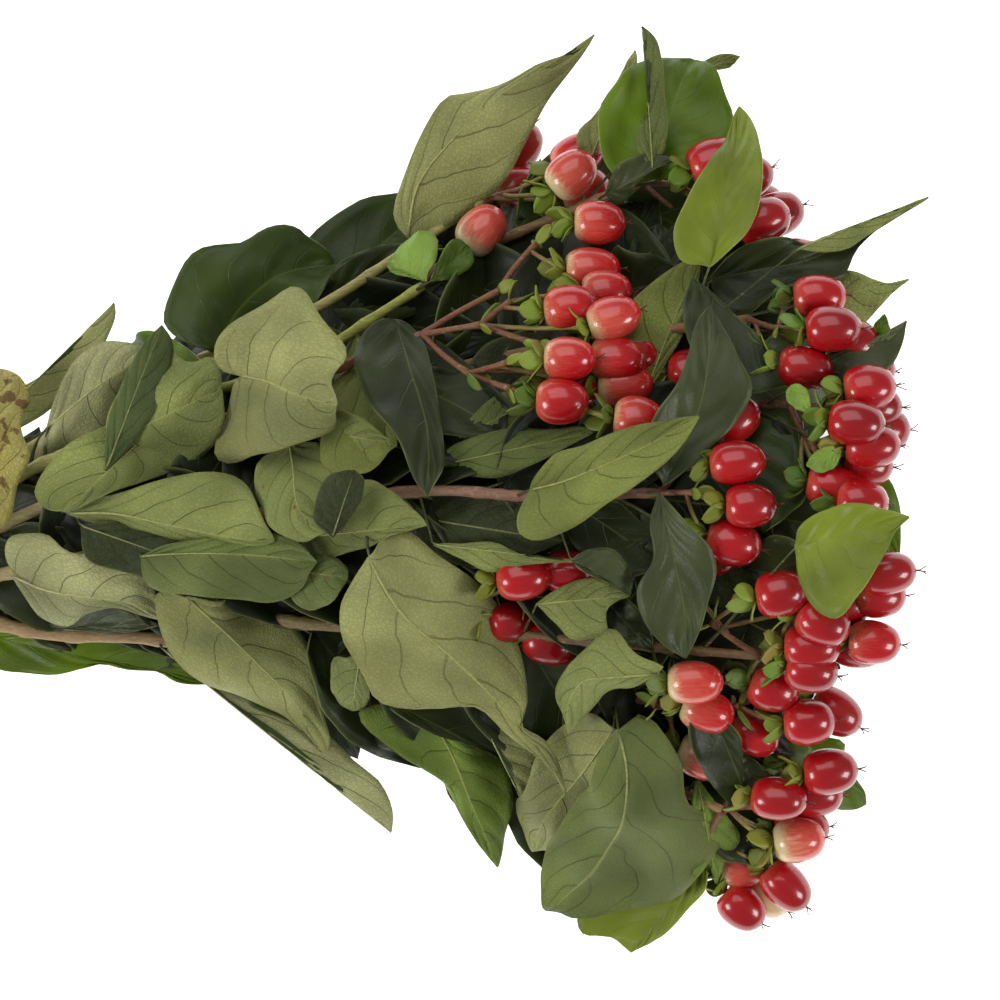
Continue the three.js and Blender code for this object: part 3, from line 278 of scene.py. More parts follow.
# ---- leaves: stem, base and tip (x, y, depth), width, the side that looks up, tone, outline and bends ----
LEAVES = [
    leaf("04", (60, 8, 6), (66, 52.5, -5), 34, "under", "old", arch=8, age=0.9, left=[(49, 14), (43, 27),
         (47, 40), (56, 48)], right=[(68, 9), (70.5, 15), (71.2, 18.5), (74.5, 25), (72, 32), (71.2, 37),
         (73.3, 44.5), (70.5, 49.5)]),
    leaf("01", (64, 39, 5), (96.6, 71.3, 4), 14, "under", "pale", cup=(-35, 5), lean=0.12,
         left=[(66.5, 45.5), (74.5, 49.8), (84.5, 57), (92.5, 66)], right=[(69, 36), (74, 38.5), (79, 42),
         (88, 50), (95.3, 62), (97.3, 67.5)]),
    leaf("03", (79, 36, 5), (107.8, 57.3, 0), 36, "under", "wan", cup=(-30, -18), arch=5, rumple=9,
         lean=-0.05, rib=[(90, 45), (100, 52.3)], left=[(80.5, 42), (84, 50.5), (88.5, 57), (95, 59.8),
         (102, 59.8)], right=[(76.3, 31), (75, 22), (75.3, 15.8), (80, 19.5), (92, 24.5), (98.2, 33.5),
         (99, 42), (103.5, 50.5)]),
    leaf("03", (112, 38, 11), (86, 12.6, 6), 20, "under", "sage", lean=-0.15, left=[(124, 34), (117, 25.5),
         (107, 20.6), (98, 17.4), (91, 14.2)], right=[(96, 36), (82, 26), (77, 18.5), (80, 14)]),
    leaf("03", (97, 31, 7), (128.6, 46.6, 5), 38, "under", "sage", cup=(-32, -12), rumple=8, lean=0.1,
         left=[(98, 42), (104, 52), (112, 57), (120, 53.4), (125, 55.4), (128, 52)], right=[(94.5, 25.5),
         (103, 21.8), (113, 22.3), (121, 26.5), (127.5, 33), (130, 39.5)]),
    leaf("02", (126.5, 56.3, 13), (159, 82, 8), 46, "upper", "dark", cup=(6, 10), rumple=11, rib=[(131, 67),
         (143, 78)], left=[(120, 57.6), (112, 63.5), (111.7, 70.5), (115.5, 80.5), (120, 84.2), (127, 86),
         (132.7, 86.8), (137, 90), (143, 91.6), (148, 91.3), (151, 88.8), (156.5, 85.6)], right=[(136, 57),
         (148, 64), (155, 74)]),
    leaf("03", (134, 50, 1), (161, 41.5, 1), 46, "under", "pale", cup=(-14, -8), arch=4, rumple=9,
         lean=0.14, rib=[(144, 47.5), (153, 43.5)], left=[(129.5, 51.5), (129, 58), (131.5, 62.5),
         (137, 67.6), (147, 74), (152, 72.3), (158, 64), (162.8, 55), (160.3, 49)], right=[(131, 45),
         (125.5, 34), (127, 27.3), (142, 27.3), (149, 29), (158, 35)]),
    leaf("04", (86.5, 12.3, 10), (144, 5, 6), 28, "under", "sage", cup=(-10, -50), lean=0.1, rumple=6,
         rib=[(100, 12.2), (118, 8.6), (132, 5.8)], left=[(91, 15.8), (103, 18.4), (114, 21.7), (125, 24),
         (135, 20.9), (141.3, 12.5)], right=[(92, 10), (104, 8.4), (118, 4.8), (130, 2.6), (138, 2.6)]),
    leaf("07", (107, 0.6, 5), (155.6, -0.8, 5), 20, "under", "dusky", lean=0.1, rib=[(120, 1.4), (140, 1)],
         left=[(114, 3.6), (126, 5.8), (138, 7.4), (149.5, 5.6)], right=[(108.5, -7), (115, -10),
         (128, -10.4), (141.5, -12), (151.5, -8)]),
    leaf("04", (147.5, 32, 15), (158.3, 7.5, 2), 22, "under", "sage", arch=2, lean=-0.1, rib=[(149.5, 22),
         (151.5, 12)], age=0.35, left=[(157, 31), (160.3, 24), (156.2, 15), (158.7, 10.5)],
         right=[(139.5, 27), (138, 20), (141.5, 10.8), (146.7, 6.2), (151.5, 5)]),
    leaf("04", (155, 35, 21), (177, 31, 14), 18, "under", "sage", left=[(160, 39.8), (166, 39.8),
         (171.7, 36)], right=[(158, 27), (161, 21.8), (167, 24), (173, 28)]),
    leaf("07", (152, 6, 15), (185.3, 9.3, 8), 22, "under", "sage", arch=2, age=0.2, left=[(156, 14),
         (163, 20.5), (170, 20.8), (177, 18.2), (183, 12.7)], right=[(151, 1), (155, -2.2), (161, 1),
         (169, 3.1), (177, 6.6)]),
    leaf("07", (169.5, 0.7, 5), (223, -64.4, 1), 45, "under", "pale", arch=2, rumple=8, ragged=0.04,
         lean=-0.08, rib=[(172.5, -5.7), (178.4, -15), (190.2, -25), (201, -35.3), (211, -47),
         (217.8, -54)], left=[(173.4, 5.6), (180.8, 7.3), (187.2, 1.7), (197, -4.2), (207, -16.5),
         (212, -30.4), (212.4, -40.2), (209.3, -44.4), (216.5, -48.5), (221, -56)], right=[(167, -3.8),
         (162.4, -12.6), (163.6, -23.5), (168.5, -31.4), (170.5, -37.3), (179.4, -40.7), (190.2, -41),
         (199, -39.5), (204, -45), (213.8, -53), (220, -59)]),
    leaf("08", (167, -25, 16), (164, -42.3, 14), 10, "under", "sage", left=[(169.5, -31), (168.9, -38)],
         right=[(159.7, -27.5), (158.4, -33.5), (160.8, -39.5)]),
    leaf("07", (70.5, -5, 3), (112, -16.8, 2), 24, "under", "wan", cup=(-6, -40), rumple=8, lean=0.2,
         rib=[(80, -9), (92, -10.8), (103, -12.5)], left=[(68, 1), (69, 5.8), (79, 7), (85, 2), (90, 0.3),
         (98, 2.7), (104, -1), (110, -9.5)], right=[(73, -10), (78, -16.5), (84, -19), (92, -15),
         (100, -13.6), (106, -15.7)]),
    leaf("10", (72, -20.3, 8), (110.5, -18.5, 10), 12, "upper", "slate", left=[(80, -19), (84, -15.8),
         (91, -11.7), (97, -11.3), (104, -15)], right=[(80, -20.4), (88, -20.2), (96, -21), (105, -20.3)]),
    leaf("09", (58, -22, 12), (126, -35.5, 20), 18, "upper", "bright", ragged=0.05, left=[(70, -18),
         (90, -17), (108, -20), (118, -28)], right=[(62, -31), (72, -33), (80, -33.4), (88, -31.6),
         (94, -30.3), (101, -32), (109, -32.2), (114, -35.3), (120, -36)]),
    leaf("08", (119, -10.5, 6), (156, -57, 2), 36, "under", "pale", cup=(-10, -10), rumple=7, ragged=0.05,
         lean=-0.04, rib=[(126, -17), (136, -27), (147, -39)], left=[(128, -10.7), (143, -13), (150, -20.5),
         (154, -31), (155.3, -42), (157.2, -50)], right=[(112, -10.5), (111.7, -19), (115.5, -27.5),
         (124, -34.5), (135, -40), (147, -46), (153, -51.5)]),
    leaf("10", (111, -25.5, 10), (174.5, -77, 5), 12, "under", "wan", cup=(-18, -5), left=[(125, -31.7),
         (140, -37), (153, -45.5), (164.5, -57.6), (170.6, -61.8), (174.6, -69.5), (175, -74)],
         right=[(119.5, -31), (129, -39.4), (141.5, -47.6), (154, -57.5), (165.5, -65.4), (171.3, -71.8)]),
    leaf("09", (186, -44, 16), (204.4, -86.5, 5), 29, "under", "green", cup=(-26, -16), rumple=7, lean=0.12,
         rib=[(191, -53), (196.5, -67), (201, -78)], left=[(200, -52), (207.5, -57), (208.5, -65),
         (207.5, -75), (206.3, -82)], right=[(174, -42), (167.3, -47), (177, -54), (188.5, -61),
         (193.5, -71), (200, -81.5)]),
    leaf("09", (170, -37, 14), (208.3, -57, 15), 14, "upper", "deep", left=[(183, -37), (196, -38.5),
         (202, -45.5), (207.3, -51.6)], right=[(176, -42.6), (188, -49), (198, -51.9)]),
    leaf("09", (199, -42, 12), (210.5, -65.8, 9), 26, "under", "pale", left=[(210, -44), (217, -50),
         (219, -57), (215, -62)], right=[(203, -49.5), (208, -56.5), (209, -62)]),
    leaf("09", (236, -46, 10), (214, -81.9, 8), 26, "under", "pale", ragged=0.05, rumple=7, rib=[(228, -58),
         (218, -71)], left=[(240, -54), (238, -66), (232, -75), (222, -79)], right=[(229, -43.6),
         (218, -49.5), (213, -62), (208.3, -70), (209.5, -76)]),
    leaf("09", (237, -46, 4), (218, -98.5, 2), 44, "under", "dusky", arch=4, rumple=12, cup=(-16, -12),
         lean=-0.1, rib=[(240, -56), (240, -67), (235, -79), (226, -91)], left=[(243, -44.3), (248, -48.5),
         (254, -58), (256.5, -70), (262, -78), (262.2, -85), (257, -92), (247, -97), (232, -97.8)],
         right=[(233, -50), (229, -62), (221, -74), (217.5, -82), (216.3, -91)]),
    leaf("10", (262, -84, 13), (241.5, -110.3, 5), 30, "upper", "lime", left=[(263, -90), (257, -97.5),
         (250, -105)], right=[(250, -84), (236, -90), (228, -97), (229, -103.5), (236.5, -105)]),
    leaf("10", (259, -60, 14), (265, -90.5, 9), 14, "under", "green", left=[(265, -67), (271, -75.7),
         (267, -83.5)], right=[(257, -66), (258, -75), (262.5, -83)]),
    leaf("08", (247.5, -30.5, 2), (223.5, -47.3, 4), 24, "under", "sage", arch=5, rumple=8, cup=(-22, -20),
         lean=-0.06, rib=[(240, -30), (230, -31), (225.5, -37)], left=[(243, -33.2), (235, -34.8),
         (230, -40), (226, -44.5)], right=[(249, -28.5), (243, -24), (236.8, -17.8), (230, -22), (225, -28),
         (221.5, -34), (222.3, -42)]),
    leaf("07", (213, 18.7, 4), (257.7, 38.2, -6), 23, "under", "olive", lean=-0.12, rib=[(222, 21),
         (234.5, 26.2), (245.5, 31.2)], left=[(214, 21.9), (219.8, 28.3), (229.6, 31.5), (239.4, 35.6),
         (249.2, 37.2)], right=[(210.4, 13), (211, 7.2), (215.4, 5.2), (222.7, 7.7), (234.5, 15.5),
         (246.2, 23.5), (254.2, 31.7)]),
    leaf("04", (176.4, 65.3, 5), (185.8, 17, 1), 24, "upper", "deep", cup=(18, 8), ragged=0.05,
         rib=[(181, 50), (185.7, 34)], left=[(182.3, 61.5), (186.7, 50.5), (189, 37.8), (189.9, 24)],
         right=[(169.5, 61.8), (165.6, 55.4), (167.4, 46), (172.4, 36.7), (177.9, 29.8), (182.3, 20.4)]),
    leaf("02", (153.5, 69.5, 20), (189, 86.5, 14), 18, "upper", "deep", left=[(157.5, 78), (163.5, 83.5),
         (171, 86.3), (180, 87.3)], right=[(164, 71), (177, 77)]),
    leaf("03", (160, 66, 22), (191, 78.5, 16), 16, "upper", "deep", left=[(164, 70.5), (172, 76),
         (182, 79.5)], right=[(170, 64), (183, 68)]),
    leaf("02", (179.5, 88.5, 1), (231.2, 145.3, -4), 34, "under", "pale", cup=(-22, -10), ragged=0.03,
         rib=[(182, 103), (192, 116), (206, 129), (220, 137.5)], left=[(175.7, 94), (178.5, 106),
         (184, 119), (190, 127.8), (196, 128.8), (206, 131.5), (217, 137.7), (226, 140.2)],
         right=[(188, 90.5), (196, 96), (205.5, 103.5), (212.5, 116), (217.5, 125.5), (222, 132),
         (228.3, 140)]),
    leaf("01", (249, 104, 12), (258, 138.5, -6), 38, "upper", "bright", rumple=8, rib=[(250, 115),
         (254, 128)], left=[(238, 104), (232.3, 112), (232.5, 122), (238, 130.5), (246, 137.3),
         (252, 138.8)], right=[(260, 105), (267, 113), (269, 121), (265.5, 130), (261.5, 136.5)]),
    leaf("05", (261.5, 78.9, 3), (270.7, 124, -13), 24, "upper", "lime", cup=(14, 20), ragged=0.04,
         rib=[(265.4, 89.5), (266, 100), (269.4, 112)], left=[(253.6, 79), (251.3, 85.4), (255.1, 94.3),
         (261.5, 106), (266.9, 114.6), (268.8, 120.5)], right=[(268.4, 82.4), (273.4, 89.4), (275.4, 100),
         (275.2, 111), (273.4, 120.4)]),
    leaf("05", (262, 76, 14), (321.6, 98.4, 2), 20, "upper", "deep", ragged=0.03, rib=[(274.3, 78.4),
         (289.2, 81.3), (303, 88.6), (312.9, 94.2)], left=[(266.4, 81.8), (274.3, 86.3), (283.2, 87.1),
         (288.2, 85.3), (298.1, 89.3), (309, 93.5), (315.9, 96.2)], right=[(265.4, 67.5), (271.3, 66),
         (279.3, 72.4), (289.2, 74.9), (298.1, 76.4), (300.5, 82.3), (306, 88.3), (314.9, 94)]),
    leaf("05", (290, 70, 24), (316.2, 76, 16), 15, "under", "fresh", ragged=0.03, arch=2,
         left=[(295.1, 77.9), (301, 78.4), (308, 75.7), (312.1, 74.6)], right=[(295.1, 63.5), (302, 63),
         (308, 68), (312, 72.4)]),
    leaf("05", (288, 50, 14), (314.6, 64.2, 10), 10, "upper", "slate", left=[(293, 54.5), (300, 56.5),
         (307, 57.7), (312, 61)], right=[(296, 47.5), (304, 48), (309, 51.5), (312.5, 57)]),
    leaf("05", (257, 76, 7), (286.3, 49.3, 11), 22, "upper", "deep", cup=(-6, 14), left=[(263, 71.5),
         (269.5, 64.5), (273.5, 57.7), (281, 55.3), (285, 52)], right=[(255, 68), (258, 55), (266, 45),
         (274, 43), (281, 46.8)]),
    leaf("06", (249, 20, 10), (261.5, 68, 0), 24, "upper", "slate", ragged=0.04, rib=[(257.4, 37.8),
         (260.4, 51.6)], left=[(243.6, 27.9), (245.6, 36.8), (251.5, 45.7), (255.2, 54.6), (257.9, 64)],
         right=[(255.4, 23.9), (261.4, 29.8), (267.8, 35.8), (272, 44.7), (268.3, 54.1), (264.8, 62)]),
    leaf("05", (243, 42, 24), (259.5, 82.9, 10), 18, "under", "olive", ragged=0.04, left=[(234, 50),
         (236, 62), (243, 72), (252, 79)], right=[(250, 53), (254.5, 60.5), (257.5, 70), (259.3, 78)]),
    leaf("05", (234, 72, 26), (257, 77, 24), 16, "upper", "deep", cup=(4, 12), left=[(236.5, 86),
         (240, 83.6), (247, 83.3), (253, 80)], right=[(242, 70), (250, 72)]),
    leaf("01", (234, 100, 10), (253.2, 109.6, -1), 9, "upper", "slate", left=[(236, 106), (240.5, 110),
         (247, 111)], right=[(238.5, 97.5), (243, 103), (248, 107)]),
    leaf("06", (270, 37, 26), (276, 7.3, 20), 18, "upper", "dark", left=[(279, 39.5), (285.5, 34),
         (286.3, 24), (288, 16), (283, 12)], right=[(266, 28), (268, 16)]),
    leaf("07", (247.5, 18, 9), (254.9, -26.5, 6), 20, "upper", "slate", cup=(16, 10), ragged=0.05,
         rib=[(251.5, 0.2), (254.5, -14.7)], left=[(253.5, 12), (260.4, 5.1), (262.7, -0.8), (260.4, -10.7),
         (257.9, -19.6)], right=[(244.9, 10.1), (245.8, 1.2), (241.9, -5.8), (242.6, -13.7),
         (247.5, -21.1)]),
    leaf("08", (283.4, 3.3, 3), (313.4, 11.5, -3), 28, "upper", "lime", ragged=0.04, left=[(285.4, 9.6),
         (292.2, 13.7), (300, 15.5), (307.9, 13.7)], right=[(284.9, -5.6), (289.3, -12.4), (295.7, -14.9),
         (301.5, -8), (306.9, 0.8), (310.4, 8.2)]),
    leaf("06", (297, 30, 34), (312.5, -1, 28), 18, "upper", "bright", left=[(306, 25), (311, 20.5),
         (313.3, 12), (313.3, 4)], right=[(297, 20), (302, 8), (309, -1)]),
    leaf("09", (262, -41, 9), (273.5, -66.8, 9), 13, "upper", "deep", left=[(268, -44), (270, -51),
         (271, -60)], right=[(256, -43), (257, -52), (262, -60), (267.5, -65.5)]),
    leaf("09", (284, -46, 32), (306.5, -68.5, 30), 17, "upper", "bright", left=[(291, -48), (297.5, -48.5),
         (298.7, -53), (302, -59.5), (305.8, -64.5)], right=[(281, -52), (288, -62), (297, -68.5),
         (303, -69.8)]),
    # lower leaves, down to the surface that the bunch lies on
    leaf("01", low(100, 40, 14), low(138, 32, 3), 28, "upper", "dusky", lower=True),
    leaf("09", low(100, -22, 12), low(140, -12, 3), 28, "upper", "dusky", lower=True),
    leaf("01", low(150, 68, 20), low(190, 104, 8), 30, "upper", "dark", lower=True),
    leaf("06", low(160, 26, 32), low(205, 12, 6), 32, "upper", "dark", lower=True),
    leaf("09", low(170, -32, 26), low(215, -18, 8), 32, "upper", "dark", lower=True),
    leaf("01", low(212, 94, 32), low(262, 112, 0.6), 32, "upper", "dark", lower=True, arch=1),
    leaf("10", low(215, -58, 30), low(258, -98, 0.6), 32, "upper", "dark", lower=True, arch=1),
    leaf("06", low(230, 40, 58), low(285, 22, 22), 32, "upper", "green", lower=True),
    leaf("01", low(242, 98, 38), low(290, 76, 14), 32, "upper", "dark", lower=True),
    leaf("10", low(250, -64, 46), low(296, -50, 14), 32, "upper", "dark", lower=True),
    leaf("09", low(245, -34, 56), low(296, -18, 22), 32, "upper", "green", lower=True),
    leaf("06", low(268, 44, 74), low(308, 52, 38), 30, "upper", "dark", lower=True),
]

# ---- young leaves, turned-over edges, and dark leaves behind others as painted shade; the solids leave them out ----
YOUNG_LEAVES = [
    leaf("03", (185, 76, 3), (174, 80.5, 1), 11, "upper", "fresh", arch=1, left=[(181, 76.8), (176.5, 78)],
         right=[(189.5, 83), (190.3, 87), (186, 88.6), (180, 86.3), (175.5, 83.3)]),
    leaf("03", (186, 76, 3), (196.5, 85.5, 2), 9, "upper", "green", arch=1, left=[(188, 82), (192.5, 87.5)],
         right=[(192, 76.8), (197.5, 81)]),
    leaf("07", (148, -3, 8), (164, -5, 7), 15, "under", "dusky", arch=1, age=0.5, left=[(153, 1),
         (160, 0.6), (163.2, -2)], right=[(149, -12), (156, -13.6), (161.7, -10.4)]),
    # a dark leaf in the 'shade' tone: painted shade under the leaf above
    leaf("04", (90, 9, 9), (128, -4, 9), 14, "under", "shade", arch=1, left=[(98, 10), (108, 9.5), (118, 6),
         (125, 2)], right=[(92, -1), (102, -4), (112, -6), (121, -6.5)]),
    leaf("04", (165, 62, 15), (177, 30.5, 12), 20, "under", "olive", arch=1, left=[(172, 56), (174, 46),
         (177.5, 37)], right=[(158, 50), (156, 38), (158, 26), (169, 25.5)]),
    leaf("04", (187, 25, 26), (230.5, 34.5, 20), 13, "under", "dusky", ragged=0.04, left=[(190, 29.5),
         (198, 33), (207, 35.3), (220, 35.2), (227, 36)], right=[(190.5, 21.3), (198, 22.6), (206, 22.2),
         (215, 26), (224, 30.7)]),
    leaf("04", (190, 31, 30), (216, 44, 26), 10, "under", "dusky", ragged=0.04, left=[(196, 37),
         (204, 44.5), (211, 46)], right=[(198, 33), (206, 34.5), (213, 38)]),
    leaf("07", (187, 4, 16), (226, -0.3, 14), 7, "under", "sage", left=[(195, 4.3), (204, 4.6), (212, 1)],
         right=[(194, 0.5), (203, -3.5), (212, -1.5)]),
    leaf("07", (224, 0, 8), (240, -9.5, 8), 8, "upper", "slate", arch=1, left=[(228, 2.7), (232, 3.8),
         (236, 2.3), (240.5, -3.5)], right=[(227, -3), (233, -5.8)]),
    leaf("08", (215, -12, 15), (240, -9.6, 11), 13, "under", "sage", arch=1, left=[(221, -7.5), (227, -5),
         (233, -5.8)], right=[(219, -17), (227, -22), (233.7, -19.5), (233, -15), (236, -11.3)]),
    leaf("08", (234, -12, 18), (246, -24.5, 16), 10, "upper", "deep", left=[(238, -9.3), (243, -14.5),
         (245.8, -20)], right=[(233.7, -17.5), (239, -22)]),
    leaf("07", (270, -2, 20), (286, -6, 22), 12, "upper", "deep", left=[(276, 6.5), (282, 6), (285.8, 1)],
         right=[(274, -6), (280, -9)]),
    leaf("01", (247, 106, 3), (244.2, 146.6, -16), 6, "under", "dusky", arch=2, left=[(242.5, 113),
         (246, 124), (246.3, 134), (247, 141)], right=[(250.5, 113), (250.5, 128), (249.3, 138),
         (247.5, 143.5)]),
    leaf("01", (229, 108, 6), (242.4, 140.4, -10), 5, "under", "pale", arch=2, left=[(226, 117), (231, 122),
         (237.5, 132), (240.5, 137.8)], right=[(232, 113), (233.5, 124), (240, 131), (243, 137)]),
    leaf("01", (259, 135, 4), (271.5, 139, -6), 5, "under", "sage", arch=1, left=[(263, 138.8),
         (267.5, 140.1)], right=[(263.5, 135.8), (268.5, 136)]),
    leaf("05", (306, 60, 12), (308.7, 66, 8), 6, "upper", "bright", arch=1, left=[(305.6, 63)],
         right=[(310, 61.5)]),
    leaf("06", (283, 46, 8), (288, 39, 6), 6, "upper", "fresh", arch=1),
    leaf("06", (296, 29, 8), (286.7, 25.3, 8), 6, "upper", "fresh", arch=1, left=[(294, 24.5), (290, 23.3)],
         right=[(293, 30.6), (288.5, 28.3)]),
    leaf("05", (247, 78, 30), (249.5, 92, 24), 10, "upper", "deep", arch=1, left=[(241, 83), (243, 88.5)],
         right=[(252, 83), (251.5, 89)]),
    leaf("09", (268, -56, 12), (285.8, -65.8, 9), 9, "upper", "deep", arch=1, left=[(271.5, -53.5),
         (278, -58), (283.5, -62.3)], right=[(272, -63.5), (279, -66)]),
    # a dark strip for the folded-down half of a leaf: painted shade
    leaf("03", low(97, 24, 56), low(112, 64, 50), 12, "under", "deep", arch=2, lean=0.15, left=[(97, 34),
         (99.5, 44), (104, 54), (108, 60)], right=[(103, 30), (110, 40), (114, 50), (115, 59)]),
    leaf("02", (124, 53, 9), (101.5, 59.8, 5), 8, "upper", "bright", arch=1, left=[(117, 53), (108, 55)],
         right=[(119, 58), (112, 62), (106, 61.5)]),
    # a dark leaf in the 'shade' tone: painted shade
    leaf("04", (160, 6, 0), (166, 24, -1), 12, "under", "shade", arch=1, left=[(154.6, 11), (156.4, 18),
         (160, 23.4)], right=[(163, 9), (168, 17), (168.4, 22)]),
    leaf("08", (112, -22, 13), (153, -46.9, 12), 8, "upper", "dark", arch=1, ragged=0.04, left=[(120, -22),
         (131, -28.5), (141, -35.5), (148, -42)], right=[(113, -27), (120, -31.3), (128, -33.6),
         (132.5, -35.5), (135, -41), (141, -43.6), (148, -46.2)]),
    leaf("05", (286, 84.3, 4), (321.6, 98.4, -2), 5, "under", "sage", arch=1, ragged=0.02,
         left=[(298, 89.4), (309.9, 93.8)], right=[(291.1, 83.3), (298.1, 83.8), (304, 87.3),
         (312.9, 93.2)]),
    # dark leaves behind the others: painted shade, so that the gaps between leaves and berries look dark
    leaf("07", (226, 12, 32), (262, 4, 30), 26, "upper", "deep"),
    leaf("07", (268, 14, 30), (304, 6, 30), 24, "upper", "deep"),
    leaf("05", (258, 62, 34), (296, 78, 34), 26, "upper", "deep"),
    leaf("10", (258, -66, 22), (288, -84, 20), 20, "upper", "deep"),
    leaf("02", (188, 84, 24), (216, 106, 32), 22, "upper", "deep"),
    leaf("07", (184, 11, 23), (222, 5, 20), 22, "under", "shade"),
    leaf("07", (216, 2, 30), (246, -4, 32), 26, "under", "shade"),
    leaf("08", (238, -8, 34), (268, -14, 34), 24, "under", "shade"),
    leaf("04", (196, 40, 30), (232, 62, 34), 26, "under", "shade"),
    leaf("07", (252, 2, 36), (288, -6, 36), 28, "under", "shade"),
    leaf("08", (262, -12, 34), (298, -30, 34), 26, "under", "shade"),
    leaf("10", (258, -62, 34), (292, -72, 34), 24, "under", "shade"),
]


# ---- curves of the wood, in millimetres ----
STEM_STEPS = 160
FORK_STEP = 120  # the stem's step whose height stands for a place that has only x and y
RUNG = 2.6  # from one twig of a fork to the next


def evenly(line, count):
    """The line, cut anew into equal steps."""
    reach = [0.0]
    for a, b in zip(line, line[1:]):
        reach.append(reach[-1] + (b - a).length)
    points = []
    k = 0
    for i in range(count + 1):
        want = reach[-1] * i / count
        while k < len(line) - 2 and reach[k + 1] < want:
            k += 1
        points.append(line[k].lerp(line[k + 1], (want - reach[k]) / max(1e-9, reach[k + 1] - reach[k])))
    return points


def flowing_line(points, count):
    """A centripetal Catmull-Rom curve through the points, in equal steps."""
    ends = [points[0] * 2 - points[1]] + points + [points[-1] * 2 - points[-2]]
    fine = []
    for before, start, end, after in zip(ends, ends[1:], ends[2:], ends[3:]):
        d0, d1, d2 = (math.sqrt((b - a).length) for a, b in ((before, start), (start, end), (end, after)))
        leave = ((start - before) / d0 - (end - before) / (d0 + d1) + (end - start) / d1) * d1
        arrive = ((end - start) / d1 - (after - start) / (d1 + d2) + (after - end) / d2) * d1
        fine += interpolate_bezier(start, start + leave / 3, end - arrive / 3, end, 24)[:-1]
    return evenly(fine + [points[-1]], count)


def bent_line(start, end, lead, bend, count):
    """A shallow arc that bulges towards lead by a share of its reach."""
    middle = start.lerp(end, 0.5) + lead * (end - start).length * bend
    return interpolate_bezier(start, start.lerp(middle, 2 / 3), end.lerp(middle, 2 / 3), end, count + 1)


def row_height(row):
    """Height of a row of stems inside the band."""
    return LOWEST_STEM_Z + row * STEM_PITCH * math.sqrt(3) / 2


def stem_line(stem):
    """A stem's axis from its cut end, through the band, to its fork."""
    y = stem["place"] * STEM_PITCH
    z = row_height(stem["row"])
    splay = [(CUT_END_X, y * 1.5, 3 + (z - LOWEST_STEM_Z) * 1.25), (-20, y * 1.05, z), (0, y, z), (14, y, z)]
    return flowing_line([Vector(p) for p in splay + stem["path"]], STEM_STEPS)


LINES = {name: stem_line(stem) for name, stem in STEMS.items()}


def nearest_on_stem(name, point):
    """Index of the step of a stem that is nearest to a point."""
    line = LINES[name]
    return max(2, min(len(line) - 2, min(range(len(line)), key=lambda i: (line[i] - point).length)))


def fork_start(stem, source):
    """Where a fork grows from: a stem's end, another fork, or a place on its own stem."""
    if isinstance(source, str):
        return fork_point(source)
    return LINES[stem][nearest_on_stem(stem, Vector((*source, LINES[stem][FORK_STEP].z)))]


def fork_point(name, rung=0):
    """A fork's end, or a place a little back from it for each further twig."""
    if name in LINES:
        return LINES[name][-1].copy()
    source, place = FORKS[name]
    end = sunk(place)
    if not rung:
        return end
    start = fork_start(name[:2], source)
    return end.lerp(start, min(0.75, rung * RUNG / (end - start).length))


# ---- inner leaves: every stem carries pairs of leaves along its whole length, most of them hidden ----
OUTLINE_X = (50, 75, 120, 150, 200, 240, 290, 312)
OUTLINE_LOW = (-16, -26, -32, -50, -80, -96, -92, -60)  # the bunch's lower edge at those X
OUTLINE_HIGH = (22, 38, 66, 82, 104, 116, 97, 80)  # and its upper edge
INNER_FIRST = 58  # the stem's step that the first pair grows from
INNER_STEP = 9  # steps from pair to pair
INNER_LENGTH = (40, 54)  # mm
INNER_DEPTH = 26  # mm below the crown


def edge_at(values, x):
    """A value of the bunch's outline at any X."""
    for x0, x1, a, b in zip(OUTLINE_X, OUTLINE_X[1:], values, values[1:]):
        if x <= x1:
            return a + (b - a) * clamp01((x - x0) / (x1 - x0))
    return values[-1]


def inside_bunch(point):
    """Whether a point is within the bunch's outline, seen from above."""
    return (OUTLINE_X[0] < point.x < OUTLINE_X[-1]
            and edge_at(OUTLINE_LOW, point.x) < point.y < edge_at(OUTLINE_HIGH, point.x))


def kept_under(point):
    """The point, lowered until the outer leaves cover it."""
    z = min(point.z, max(3.0, crown_height(point.x, point.y) - INNER_DEPTH))
    return low(point.x, point.y, z)


def inner_leaves():
    """Pairs along each stem, each pair turned a quarter from the last, shortened until they are inside."""
    rows = []
    for order, (name, line) in enumerate(LINES.items()):
        dice = random.Random(40 + order)
        for pair, step in enumerate(range(INNER_FIRST + order % 3, STEM_STEPS - 8, INNER_STEP)):
            way = (line[step + 1] - line[step - 1]).normalized()
            side = Vector((0, 0, 1)).cross(way).normalized()
            over = way.cross(side)
            for sign in (1, -1):
                out = side * sign if pair % 2 else (over * sign * 0.5 + side * dice.choice((-0.8, 0.8)))
                aim = (way * dice.uniform(0.7, 1.1) + out).normalized()
                length = dice.uniform(*INNER_LENGTH)
                for _ in range(4):
                    start = line[step] + aim * 5
                    tip = start + aim * length
                    if inside_bunch(tip) and inside_bunch(start.lerp(tip, 0.5) + side * sign * length * 0.22):
                        # darkest tones: painted shade inside the bunch
                        rows.append(leaf(name, kept_under(start), kept_under(tip), length * 0.52, "upper",
                                         dice.choice(INNER_TONES),
                                         arch=dice.uniform(0, 4), roll=dice.uniform(-30, 30), lower=True))
                        break
                    length *= 0.8
    return rows


ALL_LEAVES = LEAVES + YOUNG_LEAVES + inner_leaves()


# ---- mesh helpers ----
def open_mesh(colours=(), shares=(), spots=(), maps=()):
    """An empty bmesh with its named colour, number, vector and UV layers."""
    bm = bmesh.new()
    layers = {name: bm.verts.layers.float_color.new(name) for name in colours}
    layers.update({name: bm.verts.layers.float.new(name) for name in shares})
    layers.update({name: bm.verts.layers.float_vector.new(name) for name in spots})
    layers.update({name: bm.loops.layers.uv.new(name) for name in maps})
    return bm, layers


